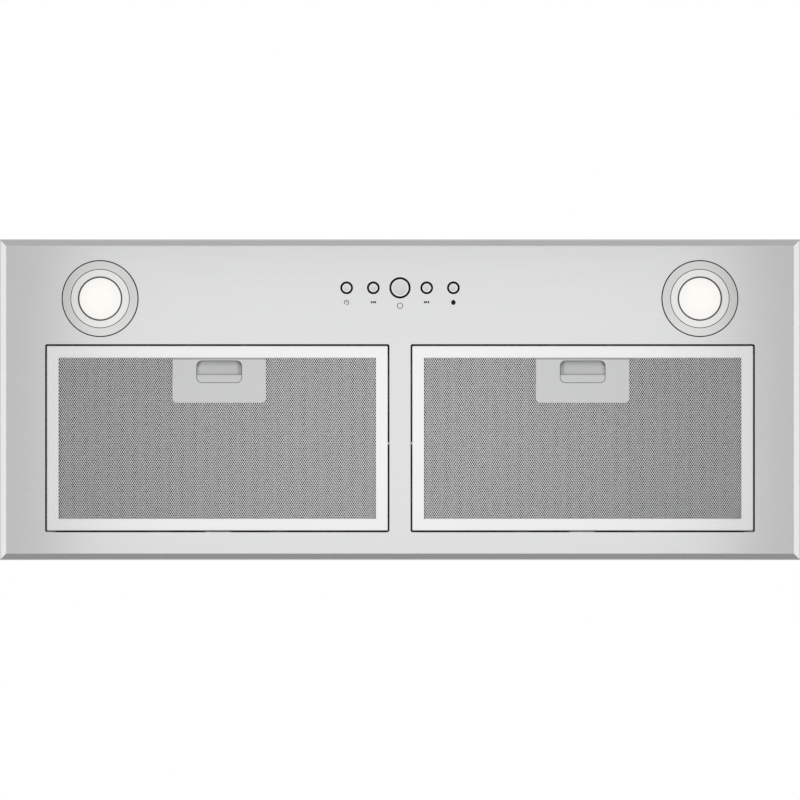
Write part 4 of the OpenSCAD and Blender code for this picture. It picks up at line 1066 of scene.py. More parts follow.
@dataclass
class Panel:
    """The bevelled panel that shows from below.

    Attributes:
        sheet: The sheet's thickness.
        rim: The width of the bevelled rim.
        rise: How far the flange lies above the face.
        seat_width: The width of the flange under the cabinet, over the rim.
        fold: The width of the rounding of a fold, which is painted paler as a highlight.
        lip: The height of the strip along the rim's outer edge that is painted dark as shade.
        lip_loss: What the rounding takes off the panel at each side.
        edge: The width of the rounding round the filter openings, which is painted paler as a
            highlight.
        edge_shape: That rounding's shape, near 1 for an almost square edge.
        opening_gap: The gap round a filter.
        opening_r: The corner radius of a filter opening.
        lamp_hole: The radius of a lamp hole.
        hole_play: How much larger a button hole's radius is than its collar's.
        hole_edge: The rounding of the edges of the lamp and button holes.
        stud_r: The radius of a weld stud.
        stud_rise: The length of a weld stud.
        stud_root: How far a weld stud goes into the sheet.
        stud_edge: The rounding of its ends.
    """

    sheet: float = 1.0 * MM
    rim: float = 5.9 * MM
    rise: float = 6.3 * MM
    seat_width: float = 14.0 * MM
    fold: float = 0.8 * MM
    lip: float = 0.6 * MM
    lip_loss: float = 0.195 * MM
    edge: float = 0.6 * MM
    edge_shape: float = 0.85
    opening_gap: float = 1.35 * MM
    opening_r: float = 1.8 * MM
    lamp_hole: float = 28.8 * MM
    hole_play: float = 0.05 * MM
    hole_edge: float = 0.25 * MM
    stud_r: float = 1.95 * MM
    stud_rise: float = 7.6 * MM
    stud_root: float = 0.4 * MM
    stud_edge: float = 0.3 * MM

    def build(self) -> None:
        """Models the sheet, cuts its openings and holes and adds the studs."""
        low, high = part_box("base_panel")
        piece = self._sheet(low, high)
        for side in Side:
            Bench.cut(piece, self._opening(side))
        # The openings' rounding takes the painted highlight of slot 1.
        Bench.round_edges(piece, self.edge, 4, 60.0, material=1, profile=self.edge_shape)
        for side in Side:
            x, y = middle(f"{side.word}_lamp_trim")
            Bench.cut(piece, self._hole((x, y, low.z), self.lamp_hole, 96))
        for cap in Controls.caps():
            Bench.cut(piece, self._hole((cap.x, cap.y, low.z), cap.ring + self.hole_play, 64))
        Bench.round_edges(piece, self.hole_edge, 2, 60.0)
        piece = Bench.join("panel_sheet", [piece, *self._studs(low.z)])
        Bench.smooth(piece)
        seat(piece, "insert", PANEL_STEEL, "base_panel")

    def _sheet(self, low: Vector, high: Vector) -> Object:
        """The folded sheet without its openings: the face, the bevelled rim and the flange, with
        painted highlights on the folds and painted shade on the rim's outer strip.

        Args:
            low: The panel's lowest corner.
            high: Its highest corner.

        Returns:
            The sheet.
        """
        top = low.z + self.rise
        piece = Bench.block("panel_sheet", (low.x + self.rim, low.y + self.rim, low.z),
                            (high.x - self.rim, high.y - self.rim, top))
        dress(piece, PANEL_STEEL, FOLD_HIGHLIGHT, RIM_SHADE)
        width, depth = high.x - low.x, high.y - low.y
        Bench.edit(piece, Pick.FACE, lambda c, n: n.z > 0.5)
        bpy.ops.transform.resize(
            value=((width + 2 * self.lip_loss) / (width - 2 * self.rim),
                   (depth + 2 * self.lip_loss) / (depth - 2 * self.rim), 1.0))
        bpy.ops.mesh.inset(thickness=self.seat_width)
        bpy.ops.mesh.delete(type="FACE")
        reach = self.seat_width / 2

        def is_inner(p: Vector) -> bool:
            """Whether a corner lies on the flange's inner edge."""
            return (p.z > top - self.sheet and low.x + reach < p.x < high.x - reach
                    and low.y + reach < p.y < high.y - reach)

        Bench.edit(piece, Pick.EDGE, lambda a, b: not (is_inner(a) and is_inner(b)))
        # The folds' rounding takes the painted highlight of slot 1.
        bpy.ops.mesh.bevel(offset=self.fold / 2, segments=4, material=1)
        Bench.done()
        # The upper strip of the fold's rounding takes the painted shade of slot 2.
        for strip in piece.data.polygons:
            if strip.material_index == 1 and strip.center.z > top - self.lip:
                strip.material_index = 2
        Bench.modify(piece, "SOLIDIFY", thickness=self.sheet, offset=-1.0,
                     use_even_offset=True)
        return piece

    def _opening(self, side: Side) -> Object:
        """The cutter of one filter opening.

        Args:
            side: The filter's side.

        Returns:
            The cutter.
        """
        low, high = FilterSizes.outline(side)
        gap, reach = self.opening_gap, 4 * self.sheet
        return Bench.rounded_block("opening_cut", (low.x - gap, low.y - gap, low.z - reach),
                                   (high.x + gap, high.y + gap, low.z + reach),
                                   self.opening_r)

    def _hole(self, centre: tuple[float, float, float], radius: float, sides: int) -> Object:
        """The cutter of a round hole, which goes well through the sheet."""
        return Bench.rod("hole_cut", centre, radius, 8 * self.sheet, sides)

    def _studs(self, face: float) -> list[Object]:
        """The weld studs, one under each nut.

        Args:
            face: The height of the panel's face.

        Returns:
            The studs.
        """
        z = face + self.sheet + self.stud_rise / 2 - self.stud_root
        studs = []
        for centre in islands(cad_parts["panel_nuts"]):
            stud = Bench.rod("stud", (centre.x, centre.y, z), self.stud_r, self.stud_rise, 24)
            Bench.round_edges(stud, self.stud_edge, 2)
            studs.append(dress(stud, PANEL_STEEL, FOLD_HIGHLIGHT, RIM_SHADE))
        return studs


@dataclass(frozen=True)
class FilterSizes:
    """Where the filters lie, from the frame's nodes.

    Attributes:
        tab_reach: How far the hook tabs stand out at the rear.
        bump_reach: How far the bump stands out at the side towards the other filter.
    """

    tab_reach: float = 5.85 * MM
    bump_reach: float = 1.05 * MM

    @classmethod
    def outline(cls, side: Side) -> tuple[Vector, Vector]:
        """The box of a filter without its tabs and bump.

        Args:
            side: The filter's side.

        Returns:
            The box's lowest and highest corner.
        """
        low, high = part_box(f"{side.word}_filter_frame")
        high.y -= cls.tab_reach
        if side is Side.LEFT:
            high.x -= cls.bump_reach
        else:
            low.x += cls.bump_reach
        return low, high


@dataclass
class Filter:
    """One grease filter with its handle and latch. Heights are over the filter's face.

    Attributes:
        side: The side that it lies on.
        low: The lowest corner of its outline.
        high: The highest corner of its outline.
        sheet: The frame's sheet thickness.
        face: The width of the frame's face.
        back: The width of the frame's back lip.
        bead: The width of the bead round the face, painted bright as a highlight.
        bead_drop: How far the rest of the face lies behind the bead.
        corner_r: The width of the rounding of the frame's outer edges.
        edge: The rounding of its cut edges.
        tab_at: The distance of a hook tab from the filter's middle.
        tab_w: A hook tab's width.
        tab_r: The radius of its corners.
        tab_edge: The rounding of its edges.
        tab_span: The heights that it lies between.
        bump_at: The distance of the side bump from the filter's rear.
        bump_z: The height of the bump's middle.
        bump_h: The bump's own height.
        bump_flat: The bump's width along the side, as a share of a round one's.
        pitch_x: The width of one hole of the net.
        pitch_y: The depth of one hole of the net.
        strand: The width of a strand.
        net_rise: The height of a strand.
        net_z: The height of the net.
        tuck: How far the net goes under the frame's face.
        net_under: How far the net goes under the handle plate, in holes.
        handle_w: The handle plate's width.
        handle_d: Its rear edge's distance from the inner edge of the frame's face.
        handle_r: The radius of its rear corners.
        handle_edge: The width of its edge, painted bright as a highlight.
        handle_span: The heights that it lies between.
        slot_w: The finger slot's width.
        slot_d: Its depth.
        slot_r: The radius of its corners.
        slot_inset: Its distance from the inner edge of the frame's face.
        slot_edge: The width of its edge, painted dark as shade.
        tuck_w: The width of the strip between the frame's face and the handle plate, painted
            darker as shade.
        tuck_depth: How far that strip lies behind the plate's face.
        tuck_under: How far it goes under the frame's face.
        tuck_edge: The rounding of its edges.
        lip_front: The distance of the latch's lip from the slot's front edge.
        lip_edge: The width of the rounding of the lip.
        pocket_r: The radius of the finger dish's outer corners.
        dish_reach: The length of the dish's round ends, at a dish_soft of 1.
        dish_under: How far the dish goes under the handle plate.
        dish_soft: How much of the dish's ends and sides is round, from 0 to 1.
        tongue_at: The distance of a latch tongue from the filter's middle.
        tongue_w: A tongue's width.
        tongue_edge: The rounding of its edges.
        tongue_play: The room at each side of a tongue in its opening.
        tongue_cut: How deep its opening goes into the frame.
        cut_span: The heights that the opening lies between.
    """

    side: Side
    low: Vector = field(init=False)
    high: Vector = field(init=False)
    sheet: float = 0.8 * MM
    face: float = 10.8 * MM
    back: float = 9.0 * MM
    bead: float = 0.8 * MM
    bead_drop: float = 0.04 * MM
    corner_r: float = 0.9 * MM
    edge: float = 0.12 * MM
    tab_at: float = 54.7 * MM
    tab_w: float = 13.5 * MM
    tab_r: float = 1.5 * MM
    tab_edge: float = 0.2 * MM
    tab_span: Span = (1.15 * MM, 2.15 * MM)
    bump_at: float = 78.7 * MM
    bump_z: float = 1.6 * MM
    bump_h: float = 1.6 * MM
    bump_flat: float = 0.76
    pitch_x: float = 1.96 * MM
    pitch_y: float = 3.09 * MM
    strand: float = 0.36 * MM
    net_rise: float = 0.03 * MM
    net_z: float = 1.35 * MM
    tuck: float = 1.4 * MM
    net_under: float = 2.5
    handle_w: float = 84.0 * MM
    handle_d: float = 40.6 * MM
    handle_r: float = 3.6 * MM
    handle_edge: float = 0.32 * MM
    handle_span: Span = (0.2 * MM, 0.8 * MM)
    slot_w: float = 40.1 * MM
    slot_d: float = 19.3 * MM
    slot_r: float = 4.5 * MM
    slot_inset: float = 3.0 * MM
    slot_edge: float = 0.45 * MM
    tuck_w: float = 1.5 * MM
    tuck_depth: float = 0.3 * MM
    tuck_under: float = 0.6 * MM
    tuck_edge: float = 0.05 * MM
    lip_front: float = 12.5 * MM
    lip_edge: float = 0.6 * MM
    pocket_r: float = 2.0 * MM
    dish_reach: float = 8.0 * MM
    dish_under: float = 0.7 * MM
    dish_soft: float = 0.8
    tongue_at: float = 25.8 * MM
    tongue_w: float = 6.75 * MM
    tongue_edge: float = 0.15 * MM
    tongue_play: float = 0.3 * MM
    tongue_cut: float = 1.4 * MM
    cut_span: Span = (1.0 * MM, 2.0 * MM)

    def __post_init__(self) -> None:
        """Reads the filter's outline from the frame."""
        self.low, self.high = FilterSizes.outline(self.side)

    @property
    def body(self) -> str:
        """The body of this filter."""
        return self.name("filter")

    def name(self, piece: str) -> str:
        """A piece's name with the side before it."""
        return f"{self.side.word}_{piece}"

    def heights(self, span: Span) -> Span:
        """Two heights over the filter's face, as heights in the frame."""
        return self.low.z + span[0], self.low.z + span[1]

    def build(self) -> None:
        """Builds the filter's pieces."""
        self._frame()
        self._net()
        self._handle()
        self._latch()
        self._inside()

    def _frame(self) -> None:
        """The folded frame with its face, back lip, tabs and bump."""
        low, high = self.low, self.high
        piece = Bench.block(self.name("frame"), low, high)
        dress(piece, FRAME_STEEL, EDGE_HIGHLIGHT, TAB_SHADE)
        for sign, width in ((-1.0, self.face), (1.0, self.back)):
            Bench.edit(piece, Pick.FACE, lambda c, n, s=sign: n.z * s > 0.5)
            bpy.ops.mesh.inset(thickness=width)
            bpy.ops.mesh.delete(type="FACE")
            Bench.done()
        Bench.edit(piece, Pick.EDGE, lambda a, b: self._is_outer(a) and self._is_outer(b))
        bpy.ops.mesh.bevel(offset=self.corner_r, segments=3)
        Bench.done()
        Bench.edit(piece, Pick.FACE, lambda c, n: n.z < -0.99)
        bpy.ops.mesh.inset(thickness=self.bead, use_boundary=True)
        bpy.ops.transform.translate(value=(0.0, 0.0, self.bead_drop))
        Bench.done()
        # The bead's faces take the painted highlight of slot 1.
        for face in piece.data.polygons:
            inward = min(face.center.x - low.x, high.x - face.center.x,
                         face.center.y - low.y, high.y - face.center.y)
            face.material_index = int(inward < self.bead and face.normal.z < -0.9)
        Bench.modify(piece, "SOLIDIFY", thickness=self.sheet - self.bead_drop, offset=-1.0,
                     use_even_offset=True)
        for cutter in self._tongue_cuts():
            Bench.cut(piece, cutter)
        Bench.round_edges(piece, self.edge, 2, 60.0)
        piece = Bench.join(self.name("frame"), [piece, *self._tabs(), self._bump()])
        Bench.smooth(piece, 30.0)
        seat(piece, self.body, FRAME_STEEL, self.name("filter_frame"))

    def _is_outer(self, p: Vector) -> bool:
        """Whether a corner lies on the outer walls of the frame's shell."""
        low, high = self.low, self.high
        return min(p.x - low.x, high.x - p.x, p.y - low.y, high.y - p.y) < TOUCH

    def _tongue_cuts(self) -> list[Object]:
        """The cutters of the openings that the latch tongues go through.

        Returns:
            The two cutters.
        """
        mid = middle(self.name("latch_slider"))[0]
        reach, width = self.tongue_at, self.tongue_w / 2 + self.tongue_play
        z0, z1 = self.heights(self.cut_span)
        return [Bench.block("tongue_cut", (mid + s * reach - width, self.low.y - MM, z0),
                            (mid + s * reach + width, self.low.y + self.tongue_cut, z1))
                for s in (-1.0, 1.0)]

    def _tabs(self) -> list[Object]:
        """The hook tabs at the rear, painted near black as the shade in the gap round the filter.

        Returns:
            The two tabs.
        """
        mid = (self.low.x + self.high.x) / 2
        z0, z1 = self.heights(self.tab_span)
        tabs = []
        for sign in (-1.0, 1.0):
            x = mid + sign * self.tab_at
            tab = Bench.rounded_block(
                "tab", (x - self.tab_w / 2, self.high.y - self.sheet, z0),
                (x + self.tab_w / 2, self.high.y + FilterSizes.tab_reach, z1), self.tab_r,
                lambda p: p.y > self.high.y)
            Bench.round_edges(tab, self.tab_edge, 2, 60.0)
            tabs.append(dress(tab, FRAME_STEEL, EDGE_HIGHLIGHT, TAB_SHADE))
            # The tab takes the painted shade of slot 2.
            wear(tab, 2)
        return tabs

    def _bump(self) -> Object:
        """The half-round bump at the side that faces the other filter.

        Returns:
            The bump.
        """
        wall = self.high.x if self.side is Side.LEFT else self.low.x
        centre = (wall, self.high.y - self.bump_at, self.low.z + self.bump_z)
        bump = Bench.rod("bump", centre, FilterSizes.bump_reach, self.bump_h, 24)
        Bench.edit(bump, Pick.FACE, lambda c, n: True)
        bpy.ops.mesh.bisect(plane_co=(wall, 0.0, 0.0), plane_no=(-self.side.value, 0.0, 0.0),
                            clear_inner=True, use_fill=True)
        bpy.ops.mesh.select_all(action="SELECT")
        bpy.ops.transform.resize(value=(1.0, self.bump_flat, 1.0))
        Bench.done()
        return dress(bump, FRAME_STEEL, EDGE_HIGHLIGHT, TAB_SHADE)

    def _net(self) -> None:
        """The expanded net behind the frame's window: one repeat, copied in rows."""
        low, high = self.low, self.high
        inset = self.face - self.tuck
        left, front = low.x + self.face - self.tuck, low.y + self.face - self.tuck
        across = high.x - low.x - 2 * inset
        deep = high.y - low.y - 2 * inset
        columns = int(across / self.pitch_x)
        rows = int(deep / self.pitch_y)
        start = (left + (across - columns * self.pitch_x) / 2 + self.pitch_x / 2,
                 front + (deep - rows * self.pitch_y) / 2, low.z + self.net_z)
        piece = net_repeat(self.name("net"), start, self.pitch_x, self.pitch_y, self.strand,
                           self.net_rise)
        for axis, pitch, count in ((0, self.pitch_x, columns), (1, self.pitch_y, rows)):
            step = [0.0, 0.0, 0.0]
            step[axis] = pitch
            Bench.modify(piece, "ARRAY", count=count, use_relative_offset=False,
                         use_constant_offset=True, constant_offset_displace=step,
                         use_merge_vertices=True, merge_threshold=TOUCH)
        plate_low, plate_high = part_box(self.name("handle_plate"))
        under = self.net_under * self.pitch_x

        def is_hidden(centre: Vector, normal: Vector) -> bool:
            """Whether a face lies well behind the handle plate."""
            return (plate_low.x + under < centre.x < plate_high.x - under
                    and centre.y < plate_high.y - under)

        Bench.edit(piece, Pick.FACE, is_hidden)
        bpy.ops.mesh.delete(type="FACE")
        Bench.done()
        seat(dress(piece, NET_METAL), self.body, NET_METAL, self.name("filter_face_mesh"))

    def _handle(self) -> None:
        """The handle plate with its finger slot, and the strip in front of it, which is painted
        darker as shade.
        """
        mid = middle(self.name("handle_plate"))[0]
        front = self.low.y + self.face
        slot_y = front + self.slot_inset
        z0, z1 = self.heights(self.handle_span)
        finishes = (HANDLE_STEEL, EDGE_HIGHLIGHT, SLOT_SHADE, TUCK_SHADE)
        piece = Bench.rounded_block(
            self.name("handle"), (mid - self.handle_w / 2, front + self.tuck_w, z0),
            (mid + self.handle_w / 2, front + self.handle_d, z1), self.handle_r,
            lambda p: p.y > front + self.handle_d / 2)
        dress(piece, *finishes)

        def is_lower(a: Vector, b: Vector) -> bool:
            """Whether an edge lies in the plate's face."""
            return max(a.z, b.z) < z0 + NEAR

        def in_slot(p: Vector) -> bool:
            """Whether a corner lies at the slot."""
            return (abs(p.x - mid) < self.slot_w / 2 + NEAR
                    and slot_y - NEAR < p.y < slot_y + self.slot_d + NEAR)

        Bench.edit(piece, Pick.EDGE, is_lower)
        # The plate's lower edges take the painted highlight of slot 1.
        bpy.ops.mesh.bevel(offset=self.handle_edge, segments=3, material=1)
        Bench.done()
        Bench.cut(piece, Bench.rounded_block(
            "slot_cut", (mid - self.slot_w / 2, slot_y, z0 - MM),
            (mid + self.slot_w / 2, slot_y + self.slot_d, z1 + MM), self.slot_r))
        Bench.edit(piece, Pick.EDGE, lambda a, b: is_lower(a, b) and in_slot(a) and in_slot(b))
        # The slot's edge takes the painted shade of slot 2.
        bpy.ops.mesh.bevel(offset=self.slot_edge, segments=3, material=2)
        Bench.done()
        tuck = Bench.block(
            "tuck", (mid - self.handle_w / 2, front - self.tuck_under, z0 + self.tuck_depth),
            (mid + self.handle_w / 2, front + self.tuck_w, z1))
        # The strip takes the painted shade of slot 3.
        wear(dress(tuck, *finishes), 3)
        Bench.round_edges(tuck, self.tuck_edge, 2, 60.0)
        piece = Bench.join(self.name("handle"), [piece, tuck])
        Bench.smooth(piece)
        seat(piece, self.body, HANDLE_STEEL, self.name("handle_plate"))

    def _latch(self) -> None:
        """The latch slider, of which the dish, the lip and the tongues show."""
        low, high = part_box(self.name("latch_slider"))
        mid = middle(self.name("handle_plate"))[0]
        slot_front = self.low.y + self.face + self.slot_inset - self.slot_edge
        lip, front = slot_front + self.lip_front, slot_front - self.dish_under
        half = self.slot_w / 2 + self.slot_edge + self.dish_under
        z0, z1 = low.z, low.z + self.sheet
        pocket = Bench.rounded_block(
            "pocket", (mid - half - self.sheet, front - self.sheet, z0),
            (mid + half + self.sheet, lip, high.z), self.pocket_r, lambda p: p.y < lip - MM)
        Bench.cut(pocket, self._dish_cut(Vector((mid, lip, z0)), half, lip - front,
                                         high.z - self.sheet - z0))
        plate = self._lip_plate((low.x, lip, z0), (high.x, high.y, z1))
        wall = Bench.block("wall", (mid - half - self.sheet, lip, z1),
                           (mid + half + self.sheet, lip + self.sheet, high.z))
        push = Bench.block("push", (low.x + self.tongue_w, high.y - self.sheet, z1),
                           (high.x - self.tongue_w, high.y, high.z))
        tongues = []
        for side in Side:
            outer = low.x if side is Side.LEFT else high.x
            inner = outer - side.value * self.tongue_w
            tongue = Bench.block("tongue", (min(outer, inner), low.y, z0),
                                 (max(outer, inner), lip, z1))
            Bench.round_edges(tongue, self.tongue_edge, 2, 60.0)
            tongues.append(tongue)
        parts = [pocket, plate, wall, push, *tongues]
        for part in parts:
            dress(part, LATCH_ZINC, LIP_STEEL, TONGUE_SHADE)
        wear(plate, 1)
        # The tongues take the painted shade of slot 2.
        for tongue in tongues:
            wear(tongue, 2)
        piece = Bench.join(self.name("latch"), parts)
        Bench.take(piece)
        bpy.ops.object.shade_smooth_by_angle(angle=math.radians(40.0))
        seat(piece, self.name("latch"), LATCH_ZINC, self.name("latch_slider"))

    def _lip_plate(self, low: tuple[float, float, float],
                   high: tuple[float, float, float]) -> Object:
        """The plate behind the lip, with the lip rounded.

        Args:
            low: The plate's lowest corner.
            high: Its highest corner.

        Returns:
            The plate.
        """
        plate = Bench.block("plate", low, high)

        def is_lip(a: Vector, b: Vector) -> bool:
            """Whether an edge is the lower front one."""
            return max(a.y, b.y) < low[1] + TOUCH and max(a.z, b.z) < low[2] + TOUCH

        Bench.edit(plate, Pick.EDGE, is_lip)
        bpy.ops.mesh.bevel(offset=self.lip_edge, segments=4)
        Bench.done()
        return plate

    def _dish_cut(self, mouth: Vector, half: float, run: float, depth: float) -> Object:
        """The cutter of the finger dish: a soft block that is deepest at the lip.

        Args:
            mouth: The middle of the lip, in the plane of the dish's mouth.
            half: The dish's half width.
            run: How far it reaches to the front.
            depth: Its depth.

        Returns:
            The cutter.
        """
        long = half / self.dish_reach * MM
        cutter = Bench.block("dish_cut", (-long, -MM, -MM), (long, MM, MM))
        Bench.round_edges(cutter, self.dish_soft * MM, 12, 60.0)
        Bench.edit(cutter, Pick.FACE, lambda c, n: True)
        bpy.ops.transform.resize(value=(self.dish_reach / MM, run / MM, depth / MM),
                                 center_override=(0.0, 0.0, 0.0))
        bpy.ops.transform.translate(value=mouth)
        Bench.done()
        return cutter

    def _inside(self) -> None:
        """Finishes of the layers and the latch's hidden pieces."""
        # The core behind the net takes the painted shade.
        finish_nodes(CORE_SHADE, self.name("filter_core"))
        finish_nodes(NET_METAL, self.name("filter_back_mesh"))
        finish_nodes(LATCH_ZINC, self.name("latch_cover"))
        finish_nodes(SPRING_STEEL, self.name("latch_springs"))


def net_repeat(name: str, start: tuple[float, float, float], pitch_x: float, pitch_y: float,
               strand: float, rise: float) -> Object:
    """One repeat of an expanded net: two crossings and the four strands between them.

    Args:
        name: The piece's name.
        start: The first crossing, at the strands' back.
        pitch_x: The net's repeat in X.
        pitch_y: The net's repeat in Y.
        strand: The strands' width.
        rise: The height of a strand's ridge.

    Returns:
        The repeat.
    """
    mesh = bpy.data.meshes.new(name)
    origin = Vector(start)
    half_w, half_d = strand * 0.62, strand * 0.98
    points: list[Vector] = []
    faces: list[tuple[int, ...]] = []

    def crossing(x: float, y: float) -> dict[str, int]:
        """Adds the ridge and the four corners of one crossing.

        Args:
            x: Its place in X from the first crossing.
            y: Its place in Y from the first crossing.

        Returns:
            The number of each of its points.
        """
        at = origin + Vector((x, y, 0.0))
        first = len(points)
        points.extend([at - Vector((0.0, 0.0, rise)), at - Vector((half_w, 0.0, 0.0)),
                       at + Vector((half_w, 0.0, 0.0)), at - Vector((0.0, half_d, 0.0)),
                       at + Vector((0.0, half_d, 0.0))])
        return dict(zip(("ridge", "left", "right", "front", "rear"), range(first, first + 5)))

    half_x, half_y = pitch_x / 2, pitch_y / 2
    first = crossing(0.0, 0.0)
    second = crossing(half_x, half_y)
    links = [(first, second, 1), (first, crossing(-half_x, half_y), -1),
             (second, crossing(0.0, pitch_y), -1), (second, crossing(pitch_x, pitch_y), 1)]
    for low, high, turn in links:
        outer, inner = ("right", "left") if turn > 0 else ("left", "right")
        ring = [low["rear"], low[outer], high["front"], high[inner]]
        sides = [(low["ridge"], high["ridge"], high["front"], low[outer]),
                 (low["ridge"], low["rear"], high[inner], high["ridge"])]
        if turn < 0:
            ring.reverse()
            sides = [tuple(reversed(side)) for side in sides]
        faces.append(tuple(reversed(ring)))
        faces.extend(tuple(reversed(side)) for side in sides)
    for point in (first, second):
        faces.append((point["left"], point["rear"], point["right"], point["front"]))
    mesh.from_pydata([tuple(p) for p in points], [], faces)
    piece = bpy.data.objects.new(name, mesh)
    bpy.context.scene.collection.objects.link(piece)
    Bench.take(piece)
    bpy.ops.object.mode_set(mode="EDIT")
    bpy.ops.mesh.select_all(action="SELECT")
    bpy.ops.mesh.remove_doubles(threshold=TOUCH)
    bpy.ops.mesh.normals_make_consistent(inside=False)
    Bench.done()
    return piece


@dataclass(frozen=True)
class Cap:
    """A button's name and place.

    Attributes:
        name: The name of its body.
        x: Its middle in X.
        y: Its middle in Y.
        radius: Its radius.
        ring: The outer radius of the black collar round it.
    """

    name: str
    x: float
    y: float
    radius: float
    ring: float


@dataclass
class Controls:
    """The five buttons, their black carrier, their icons and the board above them.

    Attributes:
        edge: The rounding of a cap's edge.
        dish: The depth of the dish in a cap's face.
        rim_width: The width of the rim round that dish, painted lighter as a highlight.
        ink: The thickness of the icons' print.
        flange: How much wider a cap's flange is than the cap, in radius.
        flange_z: The height of that flange over the cap's face.
        collar: How much wider the carrier's collar is than the cap, in radius.
        stem_r: The radius of a cap's stem.
        carrier_edge: The rounding of the carrier's edges.
    """

    edge: float = 0.5 * MM
    dish: float = 0.22 * MM
    rim_width: float = 1.0 * MM
    ink: float = 0.03 * MM
    flange: float = 1.3 * MM
    flange_z: float = 4.25 * MM
    collar: float = 1.7 * MM
    stem_r: float = 1.5 * MM
    carrier_edge: float = 0.2 * MM

    @classmethod
    def caps(cls) -> list[Cap]:
        """Reads the five buttons from the frame.

        Returns:
            The buttons from left to right.
        """
        caps = []
        for name in ("timer", "slower", "power", "faster", "light"):
            low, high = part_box(f"{name}_button")
            radius = (high.x - low.x) / 2 - cls.flange
            caps.append(Cap(name, *middle(f"{name}_button"), radius, radius + cls.collar))
        return caps

    def build(self) -> None:
        """Builds the caps, the carrier and the icons, and finishes what is hidden."""
        for cap in self.caps():
            self._cap(cap)
        carrier = Bench.softened("button_carrier", "carrier", self.carrier_edge, 60.0)
        seat(dress(carrier, COLLAR_BLACK), "insert", COLLAR_BLACK, "button_carrier")
        Icons(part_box("base_panel")[0].z, self.ink).build()
        finish_nodes(BOARD_GREEN, "control_board")
        finish_nodes(BLACK_PLASTIC, "tact_switches")
        finish_nodes(HOUSING_ZINC, "control_cover")

    def _cap(self, cap: Cap) -> None:
        """One button, with a dished face and a soft rim that is painted lighter as a highlight.

        Args:
            cap: The button's name and place.
        """
        low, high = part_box(f"{cap.name}_button")
        r = cap.radius
        inner, flange = r - self.rim_width, r + self.flange
        shelf = low.z + self.flange_z
        profile = [(0.0, low.z + self.dish), (inner * 0.6, low.z + self.dish * 0.9),
                   (inner, low.z + 0.04 * MM), (r - self.edge, low.z),
                   (r - self.edge * 0.3, low.z + self.edge * 0.3), (r, low.z + self.edge),
                   (r, shelf), (flange, shelf), (flange, shelf + MM),
                   (self.stem_r, shelf + MM), (self.stem_r, high.z), (0.0, high.z)]
        piece = Bench.lathe(f"{cap.name}_cap", (cap.x, cap.y, 0.0), profile, 64)
        dress(piece, CAP_GREY, CAP_HIGHLIGHT)
        # The rim's faces take the painted highlight of slot 1.
        for face in piece.data.polygons:
            reach = math.hypot(face.center.x - cap.x, face.center.y - cap.y)
            face.material_index = int(reach > inner and face.center.z < shelf)
        Bench.smooth(piece, 40.0)
        seat(piece, cap.name, CAP_GREY, f"{cap.name}_button")


